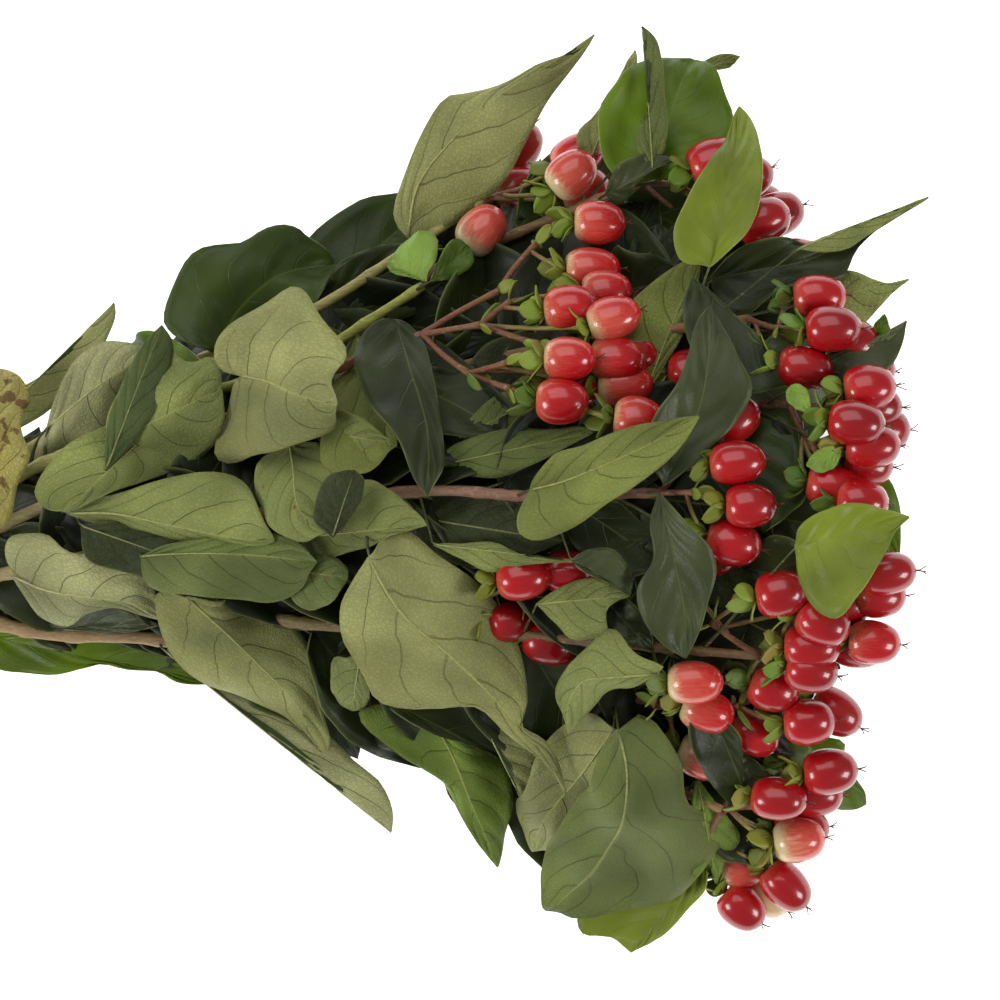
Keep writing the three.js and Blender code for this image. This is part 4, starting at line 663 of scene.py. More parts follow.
def flat_sheet(bm, cols, rows):
    """A grid to be shaped: each corner with its place across and along, from 0 to 1."""
    verts = bmesh.ops.create_grid(bm, x_segments=cols, y_segments=rows, size=1)["verts"]
    return [(vert, (vert.co.x + 1) / 2, (vert.co.y + 1) / 2) for vert in verts]


def tube(bm, spine, radius, tone, layer, sides=8, ridge=0.0):
    """A closed rod along a spine; radius and tone are functions of the share of its length."""
    steps = len(spine) - 1
    tangents = [(spine[min(i + 1, steps)] - spine[max(i - 1, 0)]).normalized() for i in range(steps + 1)]
    side = tangents[0].orthogonal().normalized()
    rings = []
    for i, (centre, tangent) in enumerate(zip(spine, tangents)):
        side = (side - tangent * side.dot(tangent)).normalized()
        rings.append((centre, side, tangent.cross(side), radius(i / steps), i / steps))
    rings = [rings[0][:3] + (0.0, 0.0)] + rings + [rings[-1][:3] + (0.0, 1.0)]
    corners = flat_sheet(bm, sides, len(rings) - 1)
    for vert, around, along in corners:
        centre, across, over, reach, share = rings[round(along * (len(rings) - 1))]
        turn = 2 * math.pi * around
        reach *= 1 + ridge * math.cos(2 * turn)
        vert.co = (centre + (across * math.cos(turn) + over * math.sin(turn)) * reach) * MM
        vert[layer] = tone(share)
    bmesh.ops.remove_doubles(bm, verts=[corner[0] for corner in corners], dist=1e-8)


def finish_piece(bm, name, materials, node, wall=0.0):
    """Makes the mesh an object that stands for its node and moves with the bunch."""
    if not wall:
        bmesh.ops.recalc_face_normals(bm, faces=bm.faces)
    mesh = bpy.data.meshes.new(name)
    bm.to_mesh(mesh)
    bm.free()
    mesh.shade_smooth()
    for material in materials:
        mesh.materials.append(material)
    piece = bpy.data.objects.new(name, mesh)
    bpy.context.scene.collection.objects.link(piece)
    if wall:
        solid = piece.modifiers.new("blade thickness", "SOLIDIFY")
        solid.thickness = wall
        solid.offset = 0
        solid.material_offset = 1
    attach(piece, BODY)
    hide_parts(node)


# ---- wood ----
def plain(hex_colour):
    """A tone that is the same all along a rod."""
    colour = linear(hex_colour)
    return lambda share: colour


def fading(start_hex, end_hex):
    """A tone that changes from one end of a rod to the other."""
    start, end = linear(start_hex), linear(end_hex)
    return lambda share: blend_colour(start, end, share)


def stem_radius(name, sizes):
    """A stem's radius along its length, with a swollen joint where leaves grow."""
    line = LINES[name]
    reach = sum((b - a).length for a, b in zip(line, line[1:]))
    joints = sorted({leaf_root_step(row) for row in ALL_LEAVES if row["stem"] == name})

    def radius(share):
        place = share * STEM_STEPS
        swell = max([math.exp(-((place - joint) * reach / STEM_STEPS / 2.0) ** 2) for joint in joints] or [0])
        return (sizes.stem_radius / MM + (STEM_TOP_R - STEM_R) * share) * (1 + 0.24 * swell)

    return radius


def leaf_root_step(row):
    """The step of its stem that a leaf's stalk leaves, a little behind the point nearest to the leaf."""
    start = sunk(row["base"])
    nearest = nearest_on_stem(row["stem"], start)
    reach = (LINES[row["stem"]][nearest] - start).length
    return max(2, nearest - round(reach / 6))


def add_stem(bm, layers, name, sizes):
    """The stem itself, with a clean cut across its pale wood and pith."""
    line = LINES[name]
    cut, top = (linear(colour) for colour in STEM_BARK[name])
    tube(bm, line, stem_radius(name, sizes), lambda share: blend_colour(cut, top, smooth(0.35, 0.95, share)),
         layers["bark_tone"], sides=14, ridge=0.05)
    out = (line[0] - line[1]).normalized()
    face = line[0] + out * 0.12
    for share, depth, hex_colour in ((0.86, 0.0, CUT_WOOD), (0.3, 0.1, PITH)):
        reach = sizes.stem_radius / MM * share
        disc = [line[0], face + out * depth]
        tube(bm, disc, lambda _, reach=reach: reach, plain(hex_colour), layers["bark_tone"], sides=14)


def add_forks(bm, layers, name):
    """The forks of a stem's spray, thicker where they part."""
    for fork, (source, place) in FORKS.items():
        if fork[:2] != name:
            continue
        spine = bent_line(fork_start(name, source), sunk(place), Vector((-1, 0, 0)), 0.1, 10)
        radius = lambda share: FORK_R - 0.14 * share + 0.35 * math.exp(-(share / 0.1) ** 2) \
            + 0.34 * math.exp(-((1 - share) / 0.14) ** 2)
        tube(bm, spine, radius, fading(*FORK_TONES), layers["bark_tone"], sides=10)


def add_twigs(bm, layers, name, sizes):
    """One twig for each berry, widening into the seat of its calyx."""
    for number, berry in berries_of(name):
        axis = Vector(berry["axis"]).normalized()
        foot = sunk(berry["middle"]) - axis * (berry_half(number, sizes) + 0.3)
        spine = bent_line(fork_point(berry["fork"], berry["rung"]), foot, -axis, 0.12, 9)
        radius = lambda share: sizes.twig_radius / MM * (0.84 + 0.2 * math.exp(-(share / 0.08) ** 2)
                                                         + 1.1 * smooth(0.86, 1.0, share))
        tube(bm, spine, radius, fading(*TWIG_TONES), layers["bark_tone"])


def add_leaf_stalks(bm, layers, name):
    """A stalk for each leaf, which runs on as the raised midrib of its underside."""
    for _, row in leaves_of(name):
        shape = leaf_shape(row)
        root = LINES[name][leaf_root_step(row)]
        down = -1 if row["face"] == "upper" else 1
        stalk = bent_line(root, shape["start"], Vector((0, 0, 1)), 0.08, 5)[:-1]
        rib = [leaf_point(row, shape, 0, v / 14 * 0.93, down * 0.5 * (1 - v / 15)) for v in range(15)]
        spine = evenly(stalk + rib, 22)
        bare = (shape["start"] - root).length
        share_of_stalk = bare / (bare + shape["length"])
        thick = 0.34 + 0.004 * row["width"]
        radius = lambda share: thick * (1.15 - 0.45 * smooth(0, share_of_stalk + 0.05, share)) \
            * (1 - 0.84 * smooth(share_of_stalk, 1.0, share))
        under = linear(LEAF_TONES[row["tone"]][0])
        # stalks painted dark: painted shade
        stalk_shade_tone, rib_tone = linear(STALK_SHADE_TONE), blend_colour(under, linear(RIB_TONE), 0.45)
        tone = lambda share: blend_colour(stalk_shade_tone, rib_tone,
                                          smooth(share_of_stalk, share_of_stalk + 0.05, share))
        tube(bm, spine, radius, tone, layers["bark_tone"], sides=6)


# ---- leaves ----
def leaf_profile(v):
    """Half-width along a leaf as a share of its greatest, from a rounded base to a drawn-out tip."""
    return max(0.012, max(0.0, math.sin(math.pi * v ** 0.74)) ** (0.6 + 0.35 * v))


def leaf_shape(row):
    """A leaf's midrib and edges in equal steps, its length and its ways forward, to the side and up."""
    start, tip = sunk(row["base"]), sunk(row["tip"])
    forward = tip - start
    length = forward.length
    forward.normalize()
    side = Vector((0, 0, 1)).cross(forward).normalized()
    side.rotate(Quaternion(forward, math.radians(row["roll"])))
    shape = {"start": start, "length": length, "forward": forward, "side": side, "up": forward.cross(side)}
    if row["left"]:
        for name, off in (("rib", 0), ("left", 0.2), ("right", -0.2)):
            inner = []
            for x, y in row[name]:
                share = clamp01(((x - start.x) * forward.x + (y - start.y) * forward.y)
                                / ((forward.x ** 2 + forward.y ** 2) * length))
                inner.append(Vector((x, y, start.z + (tip.z - start.z) * share)))
            ends = [start + side * off] + inner + [tip + side * off]
            shape[name] = flowing_line(ends, EDGE_STEPS) if inner else evenly(ends, EDGE_STEPS)
        return shape
    for name, way in (("rib", 0), ("left", 1), ("right", -1)):
        shape[name] = []
        for step in range(EDGE_STEPS + 1):
            v = step / EDGE_STEPS
            back = 0.07 * abs(way) * (1 - v) ** 7
            out = way * row["width"] / 2 * leaf_profile(v)
            shape[name].append(start + forward * ((v - back) * length) + side * out)
    return shape


def on_line(line, share):
    """A point of a line of equal steps."""
    place = share * (len(line) - 1)
    step = min(int(place), len(line) - 2)
    return line[step].lerp(line[step + 1], place - step)


def leaf_half(shape, u, v):
    """Half-width of a leaf on one side of its midrib."""
    return (on_line(shape["left" if u > 0 else "right"], v) - on_line(shape["rib"], v)).length


def leaf_point(row, shape, u, v, rise=0.0):
    """A point of a leaf's middle surface: u from edge to edge, -1 to 1, and v from base to tip, 0 to 1."""
    rib = on_line(shape["rib"], v)
    edge = on_line(shape["left" if u > 0 else "right"], v)
    half = (edge - rib).length
    cup = math.radians(row["cup"][0 if u > 0 else 1])
    out = abs(u)
    seed = row["width"] * 3.1 + row["base"][0] * 0.37
    reach = out * (1 + row["ragged"] * out * noise.noise(Vector((5.0 * v, 2.0 if u > 0 else 9.0, seed))))
    ripple = math.sin(2 * math.pi * (1.6 * v + 0.13 * row["width"] + (0.3 if u > 0 else 0)))
    crinkle = math.sin(2 * math.pi * (4.1 * v + 0.37 * row["width"] + (0.45 if u > 0 else 0)))
    lift = half * out ** 1.25 * math.tan(cup)
    lift += (row["wave"] * out * ripple + 0.4 * out * out * crinkle) * clamp01(half / 4)
    spot = Vector((u * half / RUMPLE_SIZE, v * shape["length"] / RUMPLE_SIZE, seed))
    lift += row["rumple"] * noise.noise(spot) * clamp01(half / 5) * (0.35 + 0.65 * out)
    lift += row["arch"] * math.sin(math.pi * v)
    return rib.lerp(edge, reach) + shape["up"] * (lift + rise)


def vein_relief(u, v):
    """The soft quilting between a leaf's side veins: 1 on a vein, -1 between two."""
    out = abs(u)
    phase = (v - VEIN_SWEEP * out ** 1.25) * VEIN_PAIRS + (VEIN_SHIFT if u > 0 else 0)
    across = smooth(0.03, 0.2, out) * (1 - smooth(0.7, 1.0, out))
    calm = across * smooth(0.02, 0.12, v) * (1 - smooth(0.85, 1, v))
    return -math.cos(2 * math.pi * phase) * calm


def add_blade(bm, layers, row, number, cols, rows):
    """One leaf as a sheet whose front is its underside; the wall gives it its upper side."""
    shape = leaf_shape(row)
    dice = random.Random(900 + number)
    under, upper = (linear(colour) for colour in LEAF_TONES[row["tone"]])
    light = 1 + dice.uniform(-0.05, 0.05)
    lean = row["lean"] + dice.uniform(-0.05, 0.05)
    shift = Vector((dice.uniform(0, 0.8), dice.uniform(0, 0.8)))
    down = -1 if row["face"] == "upper" else 1
    corners = flat_sheet(bm, cols, rows)
    faces = set()
    for vert, across, along in corners:
        place = 2 * across - 1
        u = place * (0.62 + 0.38 * place * place)
        v = along - 0.08 * math.sin(2 * math.pi * along)
        rise = down * QUILTING * vein_relief(u, v)
        vert.co = leaf_point(row, shape, u, v, rise) * MM
        half = leaf_half(shape, u, v)
        cloud = noise.noise(Vector((u * half / TONE_SIZE, v * shape["length"] / TONE_SIZE, 0.7 * number)))
        # painted light and shade: lean makes one half of the blade lighter and the other darker; cloud adds
        # random patches of lighter and darker tone
        shade = light + lean * max(-1, min(1, 5 * u)) + 0.34 * cloud
        vert[layers["under_tone"]] = tuple(c * shade for c in under[:3]) + (1.0,)
        vert[layers["upper_tone"]] = tuple(c * shade for c in upper[:3]) + (1.0,)
        vert[layers["age"]] = row["age"]
        for loop in vert.link_loops:
            loop[layers["blade"]].uv = (u / 2 + 0.5, v)
            loop[layers["blade_mm"]].uv = (u * half * MM + shift.x, v * shape["length"] * MM + shift.y)
            faces.add(loop.face)
    if row["face"] == "under":
        bmesh.ops.reverse_faces(bm, faces=list(faces))


def leaves_of(name):
    """The leaves of one stem with their numbers."""
    return [(i, row) for i, row in enumerate(ALL_LEAVES) if row["stem"] == name]


# ---- berries: how ripe they are by the stems, and how much riper at the outside ----
RIPENESS = 0.53
RIPENESS_GAIN = 0.22
RIPER_FROM_X, RIPER_OVER = 235, 45  # mm
STYLE_LENGTH = (1.6, 3.2)  # mm
SEPAL_SHARES = (1.0, 0.72, 0.95, 0.66, 0.86)  # lengths of a calyx's five sepals


def berries_of(name):
    """The berries of one stem with their numbers; each further berry of a fork has the next rung."""
    found = []
    rungs = {}
    for number, (fork, middle, axis, *ripe) in enumerate(BERRIES):
        if fork[:2] != name:
            continue
        rungs[fork] = rungs.get(fork, -1) + 1
        found.append((number, {"fork": fork, "rung": rungs[fork], "middle": middle, "axis": axis,
                               "ripe": ripe[0] if ripe else None}))
    return found


def berry_half(number, sizes):
    """Half of a berry's length; berries differ a little."""
    return sizes.berry_length / MM / 2 * (1 + 0.05 * math.sin(number * 2.4))


def add_berry(bm, layers, number, berry, sizes):
    """A blunt, slightly three-ridged oval with a dimple at its seat and a small beak at its tip."""
    dice = random.Random(300 + number)
    half = berry_half(number, sizes)
    radius = sizes.berry_width / MM / 2 * (1 + 0.04 * math.sin(number * 1.7 + 1))
    turn = Vector((0, 0, 1)).rotation_difference(Vector(berry["axis"]))
    middle = sunk(berry["middle"])
    spin = dice.uniform(0, 2 * math.pi)
    ripe = berry["ripe"]
    if ripe is None:
        share = clamp01((berry["middle"][0] - RIPER_FROM_X) / RIPER_OVER)
        ripe = RIPENESS + RIPENESS_GAIN * share + dice.uniform(-0.07, 0.07)
    for vert in bmesh.ops.create_uvsphere(bm, u_segments=32, v_segments=20, radius=1)["verts"]:
        egg = vert.co.copy()
        around = math.atan2(egg.y, egg.x)
        out = math.hypot(egg.x, egg.y)
        along = half * (egg.z - 0.06 * (1 - abs(egg.z)) + 0.05 * smooth(0.965, 1.0, egg.z)
                        + 0.07 * smooth(-0.93, -1.0, egg.z))
        reach = radius * out ** 0.68 * (1 - 0.05 * egg.z) * (1 + 0.014 * math.cos(3 * (around + spin)))
        spot = Vector((reach * math.cos(around), reach * math.sin(around), along))
        spot.rotate(turn)
        vert.co = (middle + spot) * MM
        vert[layers["egg"]] = egg + Vector((0, 0, 7.0 * number))
        lit = 0.06 * math.sin(around + spin)
        vert[layers["ripeness"]] = ripe + 0.13 * egg.z - 0.17 * smooth(-0.2, -1.0, egg.z) + lit


def add_styles(bm, layers, number, berry, sizes):
    """The dried styles that stand like three small horns on the tip."""
    dice = random.Random(500 + number)
    axis = Vector(berry["axis"]).normalized()
    tip = sunk(berry["middle"]) + axis * (berry_half(number, sizes) * 0.98)
    side = axis.orthogonal().normalized()
    first = dice.uniform(0, 2 * math.pi)
    for horn in range(3):
        out = side.copy()
        out.rotate(Quaternion(axis, first + horn * 2 * math.pi / 3 + dice.uniform(-0.4, 0.4)))
        reach = dice.uniform(*STYLE_LENGTH)
        spread = dice.uniform(0.25, 0.6)
        end = tip + axis * reach + out * reach * spread
        spine = bent_line(tip - axis * 0.6, end, -out, dice.uniform(0.1, 0.3), 6)
        tube(bm, spine, lambda share: 0.22 - 0.1 * share + 0.05 * smooth(0.85, 1.0, share),
             fading(*STYLE_TONES), layers["bark_tone"], sides=5)


# ---- calyces and bracts: mm and degrees ----
SEPAL_LEAN = (26, 64)
SEPAL_BEND = (-20, 30)
SEPAL_CUP = (-0.1, 0.25)
BRACT_LENGTH = (5, 9)
BRACT_WIDTH = (2.4, 3.8)


def add_sepal(bm, layers, foot, out, back, length, width, tone, dice):
    """One oval sepal, bent back from the berry, with a little rib along its middle."""
    side = out.cross(back).normalized()
    lean = math.radians(dice.uniform(*SEPAL_LEAN))
    bend = math.radians(dice.uniform(*SEPAL_BEND))
    cup = dice.uniform(*SEPAL_CUP)
    for vert, across, along in flat_sheet(bm, 4, 7):
        u = 2 * across - 1
        oval = math.sin(math.pi * clamp01(0.06 + 0.94 * along) ** 0.95)
        half = width / 2 * max(0.16 * (1 - along), oval) ** 0.55
        turn = lean + bend * along
        way = out * math.cos(turn) + back * math.sin(turn)
        over = back * math.cos(turn) - out * math.sin(turn)
        lift = -cup * (u * half) ** 2 / width + 0.12 * math.sin(9 * along + 3 * u)
        vert.co = (foot + way * (length * along) + side * (u * half) + over * lift) * MM
        vert[layers["sepal_tone"]] = tone
        for loop in vert.link_loops:
            loop[layers["blade"]].uv = (across, along)


def add_calyx(bm, layers, number, berry, sizes):
    """Five sepals of unlike size round the seat of a berry."""
    dice = random.Random(700 + number)
    axis = Vector(berry["axis"]).normalized()
    foot = sunk(berry["middle"]) - axis * (berry_half(number, sizes) * 0.93 + 0.4)
    side = axis.orthogonal().normalized()
    first = dice.uniform(0, 2 * math.pi)
    base = linear(dice.choice(SEPAL_TONES))
    for place, size in enumerate(SEPAL_SHARES):
        out = side.copy()
        out.rotate(Quaternion(axis, first + place * 2 * math.pi / 5 + dice.uniform(-0.2, 0.2)))
        tone = tuple(c * dice.uniform(0.85, 1.2) for c in base[:3]) + (1.0,)
        add_sepal(bm, layers, foot + out * 0.9, out, -axis, sizes.sepal_length / MM * size,
                  sizes.sepal_width / MM * (0.75 + 0.25 * size), tone, dice)


def add_bracts(bm, layers, name):
    """A pair of small bracts where a spray forks."""
    for number, (fork, (source, place)) in enumerate(FORKS.items()):
        if fork[:2] != name:
            continue
        dice = random.Random(1100 + number)
        end = sunk(place)
        axis = (end - fork_start(name, source)).normalized()
        side = axis.orthogonal().normalized()
        side.rotate(Quaternion(axis, dice.uniform(0, math.pi)))
        for way in (1, -1):
            tone = linear(dice.choice(SEPAL_TONES))
            add_sepal(bm, layers, end + side * way * 0.8, side * way, axis, dice.uniform(*BRACT_LENGTH),
                      dice.uniform(*BRACT_WIDTH), tone, dice)


# ---- rubber band: each turn's middle and slant along X, and its lift over the others, in mm ----
BAND_TURNS = ((-1.95, 0.1, 0.0), (0.0, -0.12, 0.25), (1.95, 0.1, 0.0))
BAND_STEPS = 150


def band_outline(offset, count):
    """The line that a strand follows round the ten stems, at an offset from the outer stems' axes."""
    corners = [(0, -1), (0, 1), (1, 1.5), (2, 1), (2, -1), (1, -1.5)]
    turns = [(-150, -90), (-90, -30), (-30, 30), (30, 90), (90, 150), (150, 210)]
    points = []
    for (row, place), (first, last) in zip(corners, turns):
        for step in range(5):
            angle = math.radians(first + (last - first) * step / 4)
            points.append(Vector((0, place * STEM_PITCH + offset * math.cos(angle),
                                  row_height(row) + offset * math.sin(angle))))
    return evenly(points + points[:1], count)


def add_strand(bm, layers, middle_x, slant, height, sizes):
    """One turn of the band: a flat strip of rubber with rounded edges."""
    thick = sizes.band_thickness / MM
    wide = sizes.band_strand / MM
    tone = linear(RUBBER)
    line = band_outline(STEM_R + BAND_GAP + thick * 0.5, BAND_STEPS)
    corners = flat_sheet(bm, 12, BAND_STEPS)
    for vert, around, along in corners:
        step = round(along * BAND_STEPS)
        here = line[step % BAND_STEPS]
        way = (line[(step + 1) % BAND_STEPS] - line[(step - 1) % BAND_STEPS]).normalized()
        out = way.cross(Vector((1, 0, 0))).normalized()
        angle = 2 * math.pi * around
        flat_x = math.copysign(abs(math.cos(angle)) ** 0.5, math.cos(angle)) * wide / 2
        flat_y = math.copysign(abs(math.sin(angle)) ** 0.7, math.sin(angle)) * thick / 2
        phase = 2 * math.pi * along
        drift = middle_x + slant * math.cos(phase) + 0.12 * math.sin(5 * phase + middle_x)
        lift = flat_y * 0.96 + height * max(0.0, math.cos(phase - 2.2)) ** 6
        vert.co = (here + Vector((drift + flat_x, 0, 0)) + out * lift) * MM
        vert[layers["bark_tone"]] = tone
    bmesh.ops.remove_doubles(bm, verts=[corner[0] for corner in corners], dist=1e-7)


# ---- materials ----
def add(tree, kind, feeds=None, **settings):
    """Adds a shader node: its settings, and for each socket the value or the socket that feeds it."""
    made = tree.nodes.new(kind)
    for name, value in settings.items():
        setattr(made, name, value)
    for socket, value in (feeds or {}).items():
        if isinstance(value, bpy.types.NodeSocket):
            tree.links.new(value, made.inputs[socket])
        else:
            made.inputs[socket].default_value = value
    return made


def surface(name, **constants):
    """A new material with the shader's own constant values."""
    material = bpy.data.materials.new(name)
    material.use_nodes = True
    shader = material.node_tree.nodes["Principled BSDF"]
    for socket, value in constants.items():
        shader.inputs[socket.replace("_", " ")].default_value = value
    return material, material.node_tree, shader


MATH = "ShaderNodeMath"
MIX = "ShaderNodeMix"
RANGE = "ShaderNodeMapRange"
NOISE = "ShaderNodeTexNoise"


def leaf_pattern(tree):
    """What both sides of a leaf share, each from 0 to 1: veins, midrib, net, mottling, specks and edge."""
    blade = add(tree, "ShaderNodeUVMap", uv_map="blade").outputs[0]
    spread = add(tree, "ShaderNodeUVMap", uv_map="blade_mm").outputs[0]
    place = add(tree, "ShaderNodeSeparateXYZ", {0: blade}).outputs
    right = add(tree, MATH, {0: place[0], 1: 0.5}, operation="GREATER_THAN").outputs[0]
    doubled = add(tree, MATH, {0: place[0], 1: 2.0, 2: -1.0}, operation="MULTIPLY_ADD").outputs[0]
    out = add(tree, MATH, {0: doubled}, operation="ABSOLUTE").outputs[0]
    bowed = add(tree, MATH, {0: out, 1: 1.25}, operation="POWER").outputs[0]
    swept = add(tree, MATH, {0: bowed, 1: -VEIN_SWEEP, 2: place[1]}, operation="MULTIPLY_ADD").outputs[0]
    wander = add(tree, NOISE, {"Vector": spread, "Scale": 1 / WANDER_SIZE, "Detail": 2.0}).outputs[0]
    side = add(tree, MATH, {0: right, 1: VEIN_SHIFT, 2: 0.5}, operation="MULTIPLY_ADD").outputs[0]
    start = add(tree, MATH, {0: swept, 1: VEIN_PAIRS, 2: side}, operation="MULTIPLY_ADD").outputs[0]
    phase = add(tree, MATH, {0: wander, 1: 0.5, 2: start}, operation="MULTIPLY_ADD").outputs[0]
    turn = add(tree, MATH, {0: phase, 1: 0.25}, operation="SUBTRACT").outputs[0]
    part = add(tree, MATH, {0: turn}, operation="FRACT").outputs[0]
    centred = add(tree, MATH, {0: part, 1: 0.5}, operation="SUBTRACT").outputs[0]
    apart = add(tree, MATH, {0: centred}, operation="ABSOLUTE").outputs[0]
    width = add(tree, RANGE, {0: out, 1: 0.0, 2: 1.0, 3: 0.04, 4: 0.018}).outputs[0]
    thin = add(tree, MATH, {0: apart, 1: width}, operation="DIVIDE").outputs[0]
    line = add(tree, RANGE, {0: thin, 1: 0.0, 2: 1.0, 3: 1.0, 4: 0.0},
               interpolation_type="SMOOTHSTEP").outputs[0]
    fade = add(tree, RANGE, {0: out, 1: 0.62, 2: 0.96, 3: 1.0, 4: 0.1}).outputs[0]
    veins = add(tree, MATH, {0: line, 1: fade}, operation="MULTIPLY").outputs[0]
    midrib = add(tree, RANGE, {0: out, 1: 0.0, 2: 0.04, 3: 1.0, 4: 0.0},
                 interpolation_type="SMOOTHSTEP").outputs[0]
    mesh_cells = add(tree, "ShaderNodeTexVoronoi",
                     {"Vector": spread, "Scale": 1 / NET_CELL, "Randomness": 0.9},
                     feature="DISTANCE_TO_EDGE").outputs[0]
    fine_cells = add(tree, "ShaderNodeTexVoronoi", {"Vector": spread, "Scale": 1 / FINE_CELL},
                     feature="DISTANCE_TO_EDGE").outputs[0]
    net = add(tree, RANGE, {0: mesh_cells, 1: 0.0, 2: 0.17, 3: 1.0, 4: 0.0}).outputs[0]
    fine = add(tree, RANGE, {0: fine_cells, 1: 0.0, 2: 0.2, 3: 0.4, 4: 0.0}).outputs[0]
    mesh = add(tree, MATH, {0: net, 1: fine}, operation="MAXIMUM").outputs[0]
    mottle = add(tree, NOISE, {"Vector": spread, "Scale": 1 / MOTTLE_SIZE, "Detail": 3.0}).outputs[0]
    specks = add(tree, NOISE, {"Vector": spread, "Scale": 1 / SPECK_SIZE, "Detail": 4.0}).outputs[0]
    edge = add(tree, RANGE, {0: out, 1: 0.93, 2: 1.0, 3: 0.0, 4: 1.0}).outputs[0]
    return {"veins": veins, "midrib": midrib, "net": mesh, "mottle": mottle, "specks": specks, "edge": edge}


def tinted(tree, colour, pattern, tints):
    """The colour, covered by parts of the pattern as far as each one's share says."""
    for part, share, hex_colour in tints:
        cover = add(tree, MATH, {0: pattern[part], 1: share}, operation="MULTIPLY").outputs[0]
        colour = add(tree, MIX, {0: cover, 6: colour, 7: linear(hex_colour)}, data_type="RGBA").outputs[2]
    return colour


def dress(tree, shader, colour, height, strength, distance, invert=False):
    """Gives the shader its colour and its fine relief, which is so many metres high."""
    tree.links.new(colour, shader.inputs["Base Color"])
    bump = add(tree, "ShaderNodeBump", {"Strength": strength, "Distance": distance, "Height": height},
               invert=invert)
    tree.links.new(bump.outputs[0], shader.inputs["Normal"])


def shaded(tree, tone, pattern, least, most):
    """A tone, mottled from darker to lighter."""
    shade = add(tree, RANGE, {0: pattern, 1: 0.3, 2: 0.72, 3: least, 4: most}).outputs[0]
    return add(tree, "ShaderNodeVectorMath", {0: tone, 3: shade}, operation="SCALE").outputs[0]


def leaf_relief(tree, pattern, net):
    """The height of the veins and, lower, of the net between them."""
    low_net = add(tree, MATH, {0: pattern["net"], 1: net}, operation="MULTIPLY").outputs[0]
    return add(tree, MATH, {0: pattern["veins"], 1: low_net}, operation="ADD").outputs[0]


def leaf_marks(tree, colour, pattern):
    """Brown, dried marks on the older leaves, as much as their age says."""
    age = add(tree, "ShaderNodeAttribute", attribute_name="age").outputs["Fac"]
    level = add(tree, MATH, {0: age, 1: -0.22, 2: 0.74}, operation="MULTIPLY_ADD").outputs[0]
    over = add(tree, MATH, {0: pattern["specks"], 1: level}, operation="SUBTRACT").outputs[0]
    mark = add(tree, RANGE, {0: over, 1: 0.0, 2: 0.05, 3: 0.0, 4: 0.85}).outputs[0]
    return add(tree, MIX, {0: mark, 6: colour, 7: linear("#6e4c2b")}, data_type="RGBA").outputs[2]


def leaf_underside():
    """Living leaf from below: a pale, matt wax skin with raised veins and a net between them."""
    material, tree, shader = surface("hypericum leaf underside, matt wax skin", Roughness=0.6,
                                     Specular_IOR_Level=0.22)
    pattern = leaf_pattern(tree)
    tone = add(tree, "ShaderNodeAttribute", attribute_name="under_tone").outputs["Color"]
    mottled = shaded(tree, tone, pattern["mottle"], 0.8, 1.16)
    lined = tinted(tree, mottled, pattern, (("net", 0.32, "#4f5c30"), ("veins", 0.42, "#525c30"),
                                            ("midrib", 0.4, "#a8ab64"), ("edge", 0.3, "#8d8a4c")))
    dress(tree, shader, leaf_marks(tree, lined, pattern), leaf_relief(tree, pattern, 0.3), 0.9, 0.0004)
    return material


def leaf_upper_side():
    """Living leaf from above: dark satin skin, sunken veins, and bluish-grey patches of painted wax sheen."""
    material, tree, shader = surface("hypericum leaf upper side, dark satin skin", Roughness=0.4,
                                     Specular_IOR_Level=0.24, Coat_Weight=0.04, Coat_Roughness=0.3)
    pattern = leaf_pattern(tree)
    tone = add(tree, "ShaderNodeAttribute", attribute_name="upper_tone").outputs["Color"]
    mottled = shaded(tree, tone, pattern["mottle"], 0.78, 1.22)
    # painted sheen: patches mixed towards bluish grey stand for the light that the wax reflects
    painted_sheen = add(tree, RANGE, {0: pattern["mottle"], 1: 0.45, 2: 0.7, 3: 0.0, 4: 0.05}).outputs[0]
    sheened = add(tree, MIX, {0: painted_sheen, 6: mottled, 7: linear("#5c6448")}, data_type="RGBA").outputs[2]
    lined = tinted(tree, sheened, pattern, (("veins", 0.16, "#66723a"), ("midrib", 0.35, "#727e3c"),
                                         ("edge", 0.2, "#7c8848")))
    dress(tree, shader, leaf_marks(tree, lined, pattern), leaf_relief(tree, pattern, 0.2), 0.5, 0.0003,
          invert=True)
    return material


